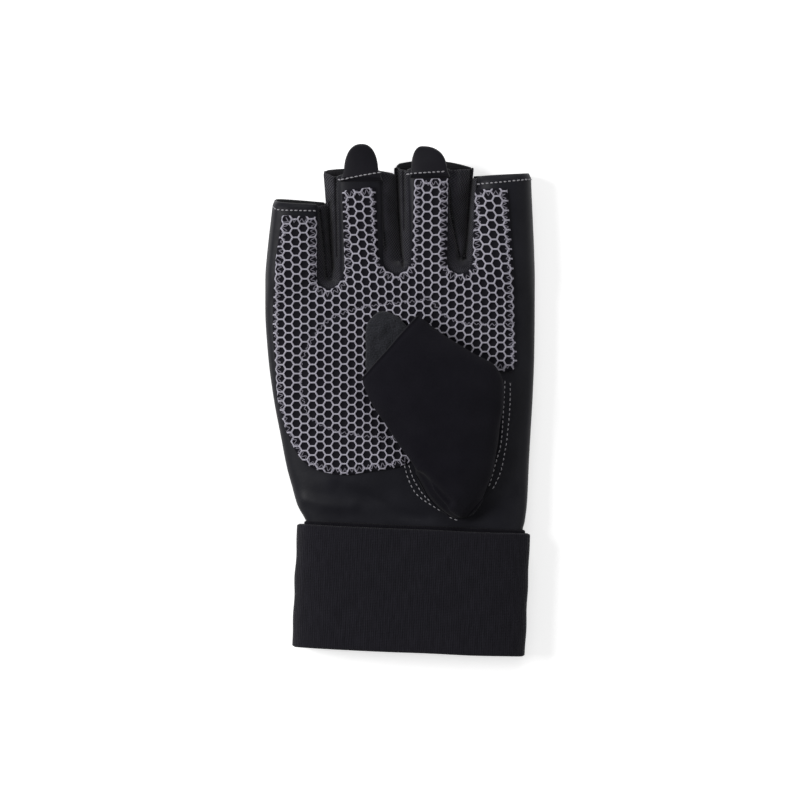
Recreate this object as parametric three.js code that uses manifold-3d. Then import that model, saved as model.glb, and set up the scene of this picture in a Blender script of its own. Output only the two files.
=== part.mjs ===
// A right-hand weightlifting glove with half fingers, lying on its back with the palm up.
// Millimetres. +X points to the thumb side, +Y to the fingertips and +Z up from the surface it lies on.
// While it is built, x = 0 is the middle of the palm and y = 0 the line where the hand part leaves the wrist wrap.
import * as THREE from "three";
import { mergeVertices } from "three/addons/utils/BufferGeometryUtils.js";
import Module from "manifold-3d";

const wasm = await Module();
wasm.setup();

// Hand part
const palmWidth = 108; // widest, across the knuckles
const palmLength = 101; // wrist line to the crotches between the fingers
const palmHeight = 19; // floor to the palm leather
const littleCrotchDrop = 6; // how much nearer the wrist the little finger's crotch lies
const fingerLength = 41; // crotch line to the longest finger's mouth
const fingerHeight = 16.5; // floor to the top of a finger stall at its mouth
const fingerGap = 0.9; // between the walls of neighbouring stalls
const palmWall = 1.3;
const backWall = 1.4;
const seamGap = 0.3; // left between sewn pieces
const seamShare = 0.36; // height of the side seam, as a share of the section

// Grip patch sewn on the palm
const patchThickness = 1.1;
const patchSlotMargin = 1.0; // and round the gaps between the fingers

// Pull tabs
const tabThickness = 1.3;
const tabRoot = 3; // length sewn onto the finger
const tabTaper = 0.86; // width of the free end, as a share of the sewn end's
const tabDroop = 0.4;

// Thumb stall, folded over the palm
const thumbWidth = 50; // widest section
const thumbHeight = 11;
const thumbWall = 1.4;
const thumbSplit = 3; // height of the seam between its terry back and its suede front
const thumbHoleWidth = 21;
const thumbHoleLength = 34;
const lobeReach = 12.5;

// Wrist wrap
const wrapWidth = 92.3;
const wrapLength = 47.8;
const wrapTurn = THREE.MathUtils.degToRad(-2.4);
const wrapShift = 4.8; // the wrap's middle lies this far to the thumb side
const bandThickness = 1.6; // outer elastic band
const liningThickness = 1.5; // inner band, sewn to the glove
const liningShow = 2.4; // length of inner band that shows above the outer one
const cuffHeight = 12; // the glove's own sleeve inside the wrap
const cuffInset = 4; // the sleeve ends this far inside the wrap
const rampAngle = 26; // degrees over which the band climbs onto its own start
const flapStart = 196; // where the second layer begins, in degrees round the section
const hookStart = 262; // where the hook tab takes over from the band
const hookEnd = 318;
const hookInset = 5; // the hook tab is this much shorter than the band, at each edge

// Facets
const handPoints = 34;
const fingerPoints = 18;
const bandSteps = 56;

// The stack of layers under the sleeve lifts it off the floor.
const cuffLow = 2 * bandThickness + liningThickness + 3 * seamGap;
const cuffHigh = cuffLow + cuffHeight;
const layersBeside = bandThickness + liningThickness + 2 * seamGap;
const cuffWidth = wrapWidth - 2 * layersBeside;
const wrapTop = -2.6; // the outer band's upper edge, from the wrist line
const wrapMiddle = wrapTop - wrapLength / 2;

// Sections of the hand part from the wrist line (along 0) to the crotches (along 1).
// left and right are shares of half the palm's width, lift of the sleeve's height off the floor, top of palmHeight.
const palmSections = [
  { along: 0.045, left: -0.745, right: 0.93, lift: 0.75, top: 0.935 },
  { along: 0.08, left: -0.765, right: 0.94, lift: 0.45, top: 0.955 },
  { along: 0.14, left: -0.79, right: 0.948, lift: 0.12, top: 0.985 },
  { along: 0.23, left: -0.835, right: 0.955, lift: 0, top: 1 },
  { along: 0.36, left: -0.88, right: 0.968, lift: 0, top: 1 },
  { along: 0.52, left: -0.935, right: 0.985, lift: 0, top: 1 },
  { along: 0.72, left: -0.98, right: 0.997, lift: 0, top: 1 },
  { along: 0.9, left: -1, right: 1, lift: 0, top: 0.985 },
  { along: 0.97, left: -1, right: 1, lift: 0, top: 0.965 },
  { along: 1.01, left: -0.985, right: 0.985, lift: 0.1, top: 0.93 },
  { along: 1.035, left: -0.96, right: 0.96, lift: 0.4, top: 0.84 },
  { along: 1.045, left: -0.94, right: 0.94, lift: 1, top: 0.62 },
];

// Lines that bound the stalls, at the crotch line and at the longest finger's mouth, as shares of the palm's width.
const stallLines = [
  { root: -0.5, mouth: -0.464 },
  { root: -0.252, mouth: -0.284 },
  { root: 0.004, mouth: -0.015 },
  { root: 0.232, mouth: 0.272 },
  { root: 0.5, mouth: 0.486 },
];

// Stalls, little finger first. The mouth's edge lies at reach on the palm side and at back on the other, in shares of
// fingerLength, and slopes across the finger. hem is the leather left bare between the grip patch and the mouth.
const fingers = [
  { name: "little", reach: 0.66, back: 0.705, slope: -0.05, backSlope: -0.09, hem: 4.8 },
  { name: "ring", reach: 0.955, back: 0.977, slope: 0.12, backSlope: 0, hem: 6 },
  { name: "middle", reach: 0.995, back: 1.04, slope: 0.02, backSlope: -0.05, hem: 3.6 },
  { name: "index", reach: 0.94, back: 0.953, slope: 0.05, backSlope: 0.05, hem: 5.2 },
];

// Gaps that show the mesh gussets between the palm's finger strips, as shares of the palm's width at root and mouth.
// drop is the share of littleCrotchDrop by which the rounded end lies nearer the wrist.
const slots = [
  { name: "little_ring", left: [-0.3, -0.296], right: [-0.227, -0.233], drop: 1 },
  { name: "ring_middle", left: [-0.06, -0.07], right: [0.034, 0.018], drop: 0 },
  { name: "middle_index", left: [0.18, 0.172], right: [0.262, 0.286], drop: 0 },
];

// Outline of the grip patch from the little finger's side round the heel of the hand to the index side.
// x is a share of half the palm's width and along of the palm's length.
const patchOutline = [
  { x: -0.911, along: 1.05 },
  { x: -0.933, along: 0.812 },
  { x: -0.912, along: 0.614 },
  { x: -0.893, along: 0.49 },
  { x: -0.828, along: 0.364 },
  { x: -0.737, along: 0.271 },
  { x: -0.614, along: 0.22 },
  { x: -0.41, along: 0.2 },
  { x: -0.222, along: 0.214 },
  { x: -0.037, along: 0.228 },
  { x: 0.07, along: 0.25 },
  { x: 0.14, along: 0.28 },
  { x: 0.222, along: 0.376 },
  { x: 0.333, along: 0.475 },
  { x: 0.481, along: 0.554 },
  { x: 0.667, along: 0.606 },
  { x: 0.852, along: 0.622 },
  { x: 0.861, along: 0.772 },
  { x: 0.861, along: 1.0 },
];
const patchTips = [-0.865, 0.815]; // x of its outer corners at the finger mouths

// Pull tabs: middle and width are shares of the palm's width, reach of fingerLength past the mouth. peak places the
// highest point between the tab's edges (-1 to 1), and lean shifts the free end, as a share of the width.
const tabs = [
  { finger: "ring", middle: -0.144, width: 0.147, reach: 0.28, peak: 0.03, lean: 0.005 },
  { finger: "middle", middle: 0.108, width: 0.134, reach: 0.222, peak: -0.42, lean: -0.03 },
];

// Sections across the thumb stall from its mouth to its foot. x is a share of the palm's width, along of its length,
// width of thumbWidth, height of thumbHeight, and turn the direction of the section's long way, in degrees.
const thumbSections = [
  { x: -0.039, along: 0.701, width: 0.686, height: 0.8, turn: 48.3 },
  { x: 0.022, along: 0.626, width: 0.78, height: 0.93, turn: 45.8 },
  { x: 0.111, along: 0.526, width: 0.902, height: 1, turn: 44.8 },
  { x: 0.194, along: 0.446, width: 0.996, height: 1, turn: 47 },
  { x: 0.247, along: 0.356, width: 0.992, height: 0.93, turn: 53.7 },
  { x: 0.273, along: 0.216, width: 0.706, height: 0.8, turn: 55.9 },
  { x: 0.278, along: 0.111, width: 0.388, height: 0.56, turn: 51.7 },
  { x: 0.274, along: 0.072, width: 0.202, height: 0.3, turn: 50.6 },
];

// Outline of the terry lobe that sticks out of the thumb's mouth: reach is a share of lobeReach past the mouth,
// left and right are shares of half the mouth's width.
const lobeSections = [
  { reach: -0.5, left: -0.72, right: 0.6 },
  { reach: 0, left: -0.73, right: 0.61 },
  { reach: 0.21, left: -0.61, right: 0.62 },
  { reach: 0.43, left: -0.42, right: 0.635 },
  { reach: 0.76, left: -0.16, right: 0.57 },
  { reach: 0.93, left: 0, right: 0.48 },
  { reach: 1, left: 0.12, right: 0.37 },
];

const colours = {
  leather: { color: 0x232327, roughness: 0.55 },
  backCloth: { color: 0x1d1d20, roughness: 0.8 },
  grip: { color: 0x48474e, roughness: 0.7 },
  mesh: { color: 0x202024, roughness: 0.85 },
  suede: { color: 0x17171b, roughness: 0.95 },
  terry: { color: 0x26262a, roughness: 0.98 },
  elastic: { color: 0x1c1b20, roughness: 0.9 },
  hook: { color: 0x18181a, roughness: 0.6 },
};

const mix = THREE.MathUtils.lerp;

// Rows with a smooth curve through every column of a table, parts to each interval.
function smoothRows(rows, parts) {
  const keys = Object.keys(rows[0]);
  const values = new Float64Array(rows.flatMap((row) => keys.map((key) => row[key])));
  const curve = new THREE.CubicInterpolant(rows.map((_, k) => k), values, keys.length);
  return Array.from({ length: parts * (rows.length - 1) + 1 }, (_, k) => {
    const row = curve.evaluate(k / parts);
    return Object.fromEntries(keys.map((key, column) => [key, row[column]]));
  });
}

// Turns a closed geometry into a solid for cutting and joining.
function solidOf(geometry) {
  const bare = new THREE.BufferGeometry();
  bare.setAttribute("position", geometry.getAttribute("position"));
  if (geometry.index) bare.setIndex(geometry.index);
  const merged = mergeVertices(bare, 1e-4);
  const triVerts = new Uint32Array(merged.index.array);
  return new wasm.Manifold(
    new wasm.Mesh({ numProp: 3, vertProperties: merged.attributes.position.array, triVerts }),
  );
}

function meshOf(name, solid, look) {
  const { vertProperties, triVerts } = solid.getMesh();
  const geometry = new THREE.BufferGeometry();
  geometry.setAttribute("position", new THREE.BufferAttribute(new Float32Array(vertProperties), 3));
  geometry.setIndex(new THREE.BufferAttribute(new Uint32Array(triVerts), 1));
  geometry.computeVertexNormals();
  const mesh = new THREE.Mesh(geometry, new THREE.MeshStandardMaterial({ metalness: 0, ...colours[look] }));
  mesh.name = name;
  return mesh;
}

// Skins a stack of rings with equal numbers of points. Rings run clockwise as seen looking along the stack.
// Each end is closed by a strip of triangles that zigzags between the ring's two sides.
function loft(rings) {
  const count = rings[0].length;
  const last = (rings.length - 1) * count;
  const zigzag = Array.from({ length: count }, (_, k) => (k % 2 ? (k + 1) / 2 : (count - k / 2) % count));
  const index = [];
  for (let k = 0; k < count; k++) {
    const next = (k + 1) % count;
    for (let row = 0; row < last; row += count) {
      index.push(row + k, row + next, row + count + next);
      index.push(row + k, row + count + next, row + count + k);
    }
  }
  for (let k = 0; k + 2 < count; k++) {
    const [a, b, c] = [zigzag[k], zigzag[k + 1 + (k % 2)], zigzag[k + 2 - (k % 2)]];
    index.push(c, b, a, last + a, last + b, last + c);
  }
  const geometry = new THREE.BufferGeometry().setFromPoints(rings.flat());
  geometry.setIndex(index);
  return solidOf(geometry);
}

// A point of a flattened oval, as shares of its half width and half height: -1 to 1 each. Its underside is squarer
// than its top, and points lie straight below those of the top.
function ovalPoint(angle, topRoundness = 2.4, bottomRoundness = 4) {
  const cosine = Math.cos(angle);
  const across = Math.sign(cosine) * Math.abs(cosine) ** (2 / topRoundness);
  const roundness = Math.sin(angle) < 0 ? bottomRoundness : topRoundness;
  const up = Math.sign(Math.sin(angle)) * (1 - Math.min(Math.abs(across), 1) ** roundness) ** (1 / roundness);
  return { across, up };
}

const settle = 0.8; // the underside is squashed flat by this much where it rests

// Height of a section's upper side at x.
function sectionTop({ left, right, low, high }, x, roundness = 2.4) {
  const across = Math.min(Math.abs(2 * x - left - right) / (right - left), 1);
  const rise = (1 - across ** roundness) ** (1 / roundness);
  return high - ((high - low + settle) / 2) * (1 - rise);
}

// One ring of the hand part or a stall: an oval from left to right and from low to high, grown outwards by out.
// place(x, z) gives the ring's y. Walls differ above and below, so inside surfaces pass their own thicknesses.
function ovalRing({ left, right, low, high }, points, out, place) {
  const [middle, halfWidth] = [(left + right) / 2, (right - left) / 2 + out.side];
  const [floor, ceiling] = [low - out.low, high + out.high];
  const halfHeight = (ceiling - floor + settle) / 2;
  return Array.from({ length: points }, (_, k) => {
    const { across, up } = ovalPoint((-2 * Math.PI * k) / points);
    const x = middle + halfWidth * across;
    const z = Math.max(floor, ceiling - halfHeight * (1 - up));
    return place(x, z);
  });
}

const outside = (by) => ({ side: by, low: by, high: by });
const inside = { side: -(palmWall + backWall) / 2, low: -backWall, high: -palmWall };

// The crotches lie further back towards the little finger, past the middle of the ring finger.
function crotchAt(x) {
  const [littleSide, ringSide] = [stallLines[1].root, (stallLines[1].root + 2 * stallLines[2].root) / 3];
  const share = THREE.MathUtils.smoothstep(-x / palmWidth, -ringSide, -littleSide);
  return palmLength - littleCrotchDrop * share;
}

function palmSection({ left, right, lift, top }) {
  return {
    left: (left * palmWidth) / 2,
    right: (right * palmWidth) / 2,
    low: lift * cuffLow,
    high: top * palmHeight,
  };
}

// A point given in the wrap's own frame: across it, up, and along it from its middle.
function onWrap(across, up, along) {
  const spot = new THREE.Vector3(across, along, up).applyAxisAngle(new THREE.Vector3(0, 0, 1), wrapTurn);
  return spot.add(new THREE.Vector3(wrapShift, wrapMiddle, 0));
}

const cuffSection = { left: -cuffWidth / 2, right: cuffWidth / 2, low: cuffLow, high: cuffHigh };

// The sleeve and palm as one solid, from below the wrap (extra further down) to the crotches.
function palmSolid(out, extra, endInset) {
  const liningTop = wrapLength / 2 + liningShow;
  const cuff = [-wrapLength / 2 + cuffInset - extra, liningTop + seamGap, liningTop + 3 * seamGap].map((along, k) => {
    const bulge = k < 2 ? 0 : liningThickness;
    const section = { ...cuffSection, left: cuffSection.left - bulge, right: cuffSection.right + bulge };
    return ovalRing(section, handPoints, out, (x, z) => onWrap(x, z, along));
  });
  const hand = palmSections.map((row) =>
    ovalRing(palmSection(row), handPoints, out, (x, z) => {
      return new THREE.Vector3(x, row.along * (crotchAt(x) - endInset), z);
    }),
  );
  return loft([...cuff, ...hand]);
}

// The line that bounds a stall, at a distance past the crotch line.
function stallLineX(number, past) {
  const { root, mouth } = stallLines[number];
  return mix(root, mouth, Math.max(past, 0) / fingerLength) * palmWidth;
}

const stallRoot = -18; // stalls start this far behind the crotch line, inside the palm
const stallTuck = 2.2; // that much narrower
const stallDip = 4; // and that much lower

function fingerSection(number, past) {
  const share = THREE.MathUtils.clamp(past / fingerLength, 0, 1);
  const buried = past < 0 ? 1 : 0;
  const tuck = [number > 0, number < fingers.length - 1].map((isInner) => {
    return isInner ? fingerGap / 2 : buried * stallTuck;
  });
  return {
    left: stallLineX(number, past) + tuck[0],
    right: stallLineX(number + 1, past) - tuck[1],
    low: buried * stallTuck,
    high: mix(0.94 * palmHeight, fingerHeight, share) - buried * stallDip,
  };
}

// The y of a stall's mouth, further out at the back of the hand than at the palm.
function mouthY({ reach, back, slope, backSlope }, section, x, z) {
  const middle = (section.left + section.right) / 2;
  const depth = (section.high - z) / (section.high - section.low);
  return palmLength + mix(reach, back, depth) * fingerLength + mix(slope, backSlope, depth) * (x - middle);
}

function fingerSolid(number, out, extra) {
  const finger = fingers[number];
  const pastMouth = finger.reach * fingerLength;
  const stations = [stallRoot, 0, pastMouth * 0.35, pastMouth * 0.7];
  const rings = stations.map((past) =>
    ovalRing(fingerSection(number, past), fingerPoints, out, (x, z) => {
      return new THREE.Vector3(x, palmLength + past, z);
    }),
  );
  const end = fingerSection(number, pastMouth);
  rings.push(
    ovalRing(end, fingerPoints, out, (x, z) => new THREE.Vector3(x, mouthY(finger, end, x, z) + extra, z)),
  );
  return loft(rings);
}

// The whole hand, palm and stalls, grown by out. extra carries it past the wrist and the finger mouths.
function handSolid(out, extra = 0, endInset = 0) {
  const stalls = fingers.map((_, number) => fingerSolid(number, out, extra));
  return wasm.Manifold.union([palmSolid(out, extra, endInset), ...stalls]);
}

// Everything below the side seam, raised by lift.
function belowSeam(lift) {
  const width = palmWidth;
  const stations = [
    { y: wrapMiddle - wrapLength, low: cuffLow, high: cuffHigh },
    { y: wrapTop + liningShow, low: cuffLow, high: cuffHigh },
    ...palmSections.slice(0, 8).map((row) => ({ y: row.along * palmLength, ...palmSection(row) })),
    { y: palmLength + 2 * fingerLength, low: 0, high: fingerHeight },
  ];
  return loft(
    stations.map(({ y, low, high }) => {
      const seam = mix(low, high, seamShare) + lift;
      const corners = [[width, seam], [width, -palmHeight], [-width, -palmHeight], [-width, seam]];
      return corners.map(([x, z]) => new THREE.Vector3(x, y, z));
    }),
  );
}

// An upright block with a plan outline given as a three.js shape.
function blockOf(shape, low, high) {
  const geometry = new THREE.ExtrudeGeometry(shape, { depth: high - low, bevelEnabled: false, curveSegments: 8 });
  return solidOf(geometry.translate(0, 0, low));
}

// Plan of one gap between the palm's finger strips: two edges and a rounded end, grown by out on every side.
function slotShape({ left, right, drop }, out) {
  const root = [left[0] * palmWidth - out, right[0] * palmWidth + out];
  const mouth = [left[1] * palmWidth - out, right[1] * palmWidth + out];
  const radius = (root[1] - root[0]) / 2;
  const bottom = palmLength - drop * littleCrotchDrop - out;
  const shape = new THREE.Shape();
  shape.moveTo(mouth[0], palmLength + 1.5 * fingerLength);
  shape.lineTo(root[0], bottom + radius);
  shape.absarc(root[0] + radius, bottom + radius, radius, Math.PI, 2 * Math.PI);
  shape.lineTo(mouth[1], palmLength + 1.5 * fingerLength);
  return shape;
}

function slotBlocks(out) {
  return slots.map((slot) => blockOf(slotShape(slot, out), -palmHeight, 2 * palmHeight));
}

// Plan of the grip patch: its hand-drawn sides, and one strip for each finger, ending below the mouth's hem.
function patchShape() {
  const plan = ({ x, along }) => new THREE.Vector2((x * palmWidth) / 2, along * palmLength);
  const sides = new THREE.SplineCurve(patchOutline.map(plan)).getPoints(2 * patchOutline.length);
  const corners = fingers.flatMap((finger, number) => {
    const end = fingerSection(number, finger.reach * fingerLength);
    const share = finger.reach - finger.hem / fingerLength;
    const [before, after] = [slots[number - 1], slots[number]];
    const left = before ? mix(...before.right, share) * palmWidth + patchSlotMargin : (patchTips[0] * palmWidth) / 2;
    const right = after ? mix(...after.left, share) * palmWidth - patchSlotMargin : (patchTips[1] * palmWidth) / 2;
    return [left, right].map((x) => new THREE.Vector2(x, mouthY(finger, end, x, end.high) - finger.hem));
  });
  return new THREE.Shape([...sides, ...corners.reverse()]);
}

// Height of the palm leather above the floor at a point of the palm.
function palmTop(x, y) {
  const along = THREE.MathUtils.clamp(y / palmLength, palmSections[0].along, 0.999);
  const after = palmSections.findIndex((row) => row.along > along);
  const [a, b] = [palmSections[after - 1], palmSections[after]];
  const share = (along - a.along) / (b.along - a.along);
  const [from, to] = [palmSection(a), palmSection(b)];
  const blend = (key) => mix(from[key], to[key], share);
  return sectionTop({ left: blend("left"), right: blend("right"), low: blend("low"), high: blend("high") }, x);
}

const thumbStand = patchThickness + 2 * seamGap; // the folded thumb lies this far above the palm leather

// A solid of the thumb stall's sections, laid over the palm, with walls taken off. extra carries it out of its mouth.
function thumbSolid(wall, extra) {
  const direction = (turn) => {
    const angle = THREE.MathUtils.degToRad(turn);
    return new THREE.Vector2(Math.cos(angle), Math.sin(angle));
  };
  const ring = (row, forward) => {
    const [across, half] = [direction(row.turn), (row.width * thumbWidth) / 2 - wall];
    const middle = new THREE.Vector2(row.x * palmWidth, row.along * palmLength);
    middle.addScaledVector(direction(row.turn + 90), forward);
    const height = row.height * thumbHeight - 2 * wall;
    return Array.from({ length: fingerPoints }, (_, k) => {
      const oval = ovalPoint((2 * Math.PI * k) / fingerPoints, 2.2, 2.2);
      const spot = middle.clone().addScaledVector(across, half * oval.across);
      const lift = thumbStand + wall + (height * (1 + oval.up)) / 2;
      return new THREE.Vector3(spot.x, spot.y, palmTop(spot.x, spot.y) + lift);
    });
  };
  const sections = smoothRows(thumbSections, 2);
  const rows = wall > 0 ? sections.slice(0, -2) : sections;
  const rings = rows.map((row) => ring(row, 0));
  if (extra > 0) rings.unshift(ring(rows[0], extra));
  return loft(rings);
}

// The upright oval hole through which the thumb leaves the palm.
function thumbHole(out) {
  const at = thumbSections[4];
  const radius = [thumbHoleWidth / 2 + out, thumbHoleLength / 2 + out];
  const shape = new THREE.Shape();
  shape.absellipse(at.x * palmWidth + 1, at.along * palmLength - 3, ...radius, 0, 2 * Math.PI, false, -0.35);
  return blockOf(shape, palmHeight / 2, palmHeight + thumbStand + 1.5 * thumbWall);
}

// The end of the terry back that sticks out of the thumb's mouth, lying on the grip patch.
function thumbLobe() {
  const mouth = thumbSections[0];
  const half = (mouth.width * thumbWidth) / 2;
  const angle = THREE.MathUtils.degToRad(mouth.turn);
  const across = new THREE.Vector2(Math.cos(angle), Math.sin(angle));
  const forward = new THREE.Vector2(-across.y, across.x);
  const rings = lobeSections.map(({ reach, left, right }) => {
    const middle = new THREE.Vector2(mouth.x * palmWidth, mouth.along * palmLength);
    middle.addScaledVector(forward, reach * lobeReach);
    const corners = [[left, 0], [right, 0], [right, thumbWall], [left, thumbWall]];
    return corners.map(([side, up]) => {
      const spot = middle.clone().addScaledVector(across, side * half);
      return new THREE.Vector3(spot.x, spot.y, palmTop(spot.x, spot.y) + thumbStand + up);
    });
  });
  return loft(rings.reverse());
}

// A tab sewn over a finger's hem: a tongue with a rounded end that follows the finger's arch across and droops past it.
function pullTab({ finger, middle, width, reach, peak, lean }) {
  const number = fingers.findIndex((one) => one.name === finger);
  const end = fingerSection(number, fingers[number].reach * fingerLength);
  const centre = middle * palmWidth;
  const [half, past] = [(width * palmWidth) / 2, reach * fingerLength];
  const mouth = mouthY(fingers[number], end, centre, end.high);
  const steps = 10;
  const spread = THREE.MathUtils.degToRad(80);
  const rings = Array.from({ length: steps + 1 }, (_, k) => {
    const side = Math.sin(mix(spread, -spread, k / steps)) / Math.sin(spread);
    const x = centre + side * half;
    const tipX = centre + 2 * lean * half + tabTaper * side * half;
    const low = sectionTop(end, x) + 2 * seamGap;
    const fromPeak = side < peak ? (peak - side) / (1 + peak) : (side - peak) / (1 - peak);
    const tipY = mouth + past * (1 - Math.min(fromPeak, 1) ** 2.3) ** (1 / 2.3);
    const corners = [[x, mouth - tabRoot, low], [tipX, tipY, low - tabDroop]];
    const [root, tip] = corners.map((corner) => new THREE.Vector3(...corner));
    const raised = (spot) => spot.clone().add(new THREE.Vector3(0, 0, tabThickness));
    return [root, raised(root), raised(tip), tip];
  });
  return loft(rings);
}

// A strip wound round the sleeve between two angles, in degrees clockwise seen from the wrist.
// layer(angle) gives how far its inner face lies outside the sleeve; from and to bound it along the wrap.
function woundStrip(start, end, thickness, layer, from, to) {
  const steps = Math.ceil((bandSteps * Math.abs(end - start)) / 360);
  const rings = Array.from({ length: steps + 1 }, (_, k) => {
    const angle = mix(start, end, k / steps);
    const point = (out) => {
      const ring = ovalAt(cuffSection, angle, out);
      return [onWrap(ring.x, ring.z, from), onWrap(ring.x, ring.z, to)];
    };
    const [inner, outer] = [point(layer(angle)), point(layer(angle) + thickness)];
    return [inner[0], outer[0], outer[1], inner[1]];
  });
  return loft(rings);
}

// A point of an oval section at an angle in degrees, grown outwards by out.
function ovalAt({ left, right, low, high }, degrees, out) {
  const { across, up } = ovalPoint(THREE.MathUtils.degToRad(degrees));
  const halfHeight = (high - low + 2 * out + settle) / 2;
  const z = Math.max(low - out, high + out - halfHeight * (1 - up));
  return { x: (left + right) / 2 + ((right - left) / 2 + out) * across, z };
}

// Layers of the wrap, from the sleeve outwards.
const liningOut = seamGap;
const bandOut = liningOut + liningThickness + seamGap;
const flapOut = bandOut + bandThickness + seamGap;

function makeWrap(group) {
  const ringOf = (out, along) =>
    ovalRing(cuffSection, handPoints, outside(out), (x, z) => onWrap(x, z, along));
  const [low, high] = [-wrapLength / 2, wrapLength / 2];
  const tube = (out, extra) => loft([ringOf(out, low + 1 - extra), ringOf(out, high + liningShow + extra)]);
  const lining = tube(liningOut + liningThickness, 0).subtract(tube(liningOut, 1));
  group.add(meshOf("wrist_lining", lining, "elastic"));

  // The band starts on the underside, goes once round and climbs over its own start.
  const bandStart = flapStart - 360 + rampAngle;
  const layer = (angle) =>
    mix(bandOut, flapOut, THREE.MathUtils.clamp((angle - flapStart + rampAngle) / rampAngle, 0, 1));
  const band = woundStrip(bandStart, hookStart, bandThickness, layer, low, high);
  group.add(meshOf("wrist_wrap", band, "elastic"));
  const degreesApart = 1;
  const hook = woundStrip(
    hookStart + degreesApart,
    hookEnd,
    bandThickness,
    () => flapOut,
    low + hookInset,
    high - hookInset,
  );
  group.add(meshOf("hook_tab", hook, "hook"));
}

function makeHand(group) {
  const shell = handSolid(outside(0)).subtract(handSolid(inside, 2 * cuffInset, 1.5 * palmWall));
  const seam = [belowSeam(-seamGap / 2), belowSeam(seamGap / 2)];
  group.add(meshOf("back_panel", shell.intersect(seam[0]), "backCloth"));

  const upper = shell.subtract(seam[1]);
  const gaps = slotBlocks(seamGap / 2);
  const palm = wasm.Manifold.difference([upper, ...gaps, thumbHole(0)]);
  group.add(meshOf("palm_panel", palm, "leather"));
  slotBlocks(-seamGap / 2).forEach((block, k) => {
    group.add(meshOf(`gusset_${slots[k].name}`, upper.intersect(block), "mesh"));
  });

  const skin = handSolid(outside(seamGap + patchThickness)).subtract(handSolid(outside(seamGap), 1));
  const patch = skin.intersect(blockOf(patchShape(), palmHeight / 2, 2 * palmHeight));
  group.add(meshOf("grip_patch", wasm.Manifold.difference([patch, ...slotBlocks(patchSlotMargin)]), "grip"));

  tabs.forEach((tab) => group.add(meshOf(`pull_tab_${tab.finger}`, pullTab(tab), "leather")));
}

function makeThumb(group) {
  const bed = (out) => palmSolid(outside(out), 0, 0);
  const hollow = thumbSolid(thumbWall, lobeReach);
  const stall = wasm.Manifold.difference([
    thumbSolid(0, 0),
    hollow.subtract(bed(thumbStand + thumbWall)),
    bed(thumbStand),
    thumbHole(0),
  ]);
  const front = stall.subtract(bed(thumbStand + thumbSplit + seamGap / 2));
  const lobe = thumbLobe().subtract(bed(thumbStand));
  const back = stall.intersect(bed(thumbStand + thumbSplit - seamGap / 2)).add(lobe);
  group.add(meshOf("thumb_front", front, "suede"));
  group.add(meshOf("thumb_back", back, "terry"));
}

const glove = new THREE.Group();
makeHand(glove);
makeThumb(glove);
makeWrap(glove);

// The origin is the middle of the footprint, on the surface that the glove lies on.
const bounds = new THREE.Box3().setFromObject(glove);
const footprint = bounds.getCenter(new THREE.Vector3());
glove.position.set(-footprint.x, -footprint.y, -bounds.min.z);

export default glove;
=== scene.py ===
"""A right-hand weightlifting glove with half fingers, lying on its back with the palm up.

Lengths are in millimetres until a mesh is made. x = 0 is the middle of the palm and y = 0 the line where the
hand part leaves the wrist wrap, so a point goes ORIGIN_Y lower when it is placed in the part's frame.
"""

import math

import bpy
import numpy as np
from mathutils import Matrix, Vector
from mathutils.geometry import delaunay_2d_cdt


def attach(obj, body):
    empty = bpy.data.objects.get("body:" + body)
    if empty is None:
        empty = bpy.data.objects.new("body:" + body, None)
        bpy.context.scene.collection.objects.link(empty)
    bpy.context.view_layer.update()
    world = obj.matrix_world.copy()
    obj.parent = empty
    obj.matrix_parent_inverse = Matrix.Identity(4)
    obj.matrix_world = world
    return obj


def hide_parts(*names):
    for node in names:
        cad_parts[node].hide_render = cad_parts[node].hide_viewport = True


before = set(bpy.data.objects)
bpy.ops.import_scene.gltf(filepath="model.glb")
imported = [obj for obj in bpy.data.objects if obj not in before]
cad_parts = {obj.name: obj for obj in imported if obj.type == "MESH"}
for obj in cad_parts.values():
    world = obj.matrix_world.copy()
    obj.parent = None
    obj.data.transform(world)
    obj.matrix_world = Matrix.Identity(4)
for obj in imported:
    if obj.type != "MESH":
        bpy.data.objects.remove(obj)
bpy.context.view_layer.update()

MM = 0.001
ORIGIN_Y = 49.69

# Hand part
PALM_WIDTH = 108
PALM_LENGTH = 101
PALM_HEIGHT = 19
CROTCH_DROP = 6
FINGER_LENGTH = 41
FINGER_HEIGHT = 16.5
KNUCKLES = 96  # the palm's own end rounds down from here
STALL_RUN = 18  # how far below the crotch a finger's own arch begins
STALL_SEAM = 0.45
FAR = 30  # height of an arch where it doesn't reach
PALM_WALL = 1.3
BACK_WALL = 1.4
SEAM_SHARE = 0.36
SETTLE = 0.8
TOP_ROUND = 2.4
BOTTOM_ROUND = 4

# Wrist wrap
WRAP_WIDTH = 92.3
WRAP_LENGTH = 47.8
WRAP_TURN = math.radians(-2.4)
WRAP_SHIFT = 4.8
BAND = 1.6
LINING = 1.5
LINING_SHOW = 2.4
GAP = 0.3
CUFF_HEIGHT = 12
CUFF_LOW = 2 * BAND + LINING + 3 * GAP
CUFF_HIGH = CUFF_LOW + CUFF_HEIGHT
CUFF_WIDTH = WRAP_WIDTH - 2 * (BAND + LINING + 2 * GAP)
WRAP_TOP = -2.6
WRAP_MIDDLE = WRAP_TOP - WRAP_LENGTH / 2
SLEEVE_END = -46.4

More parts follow.
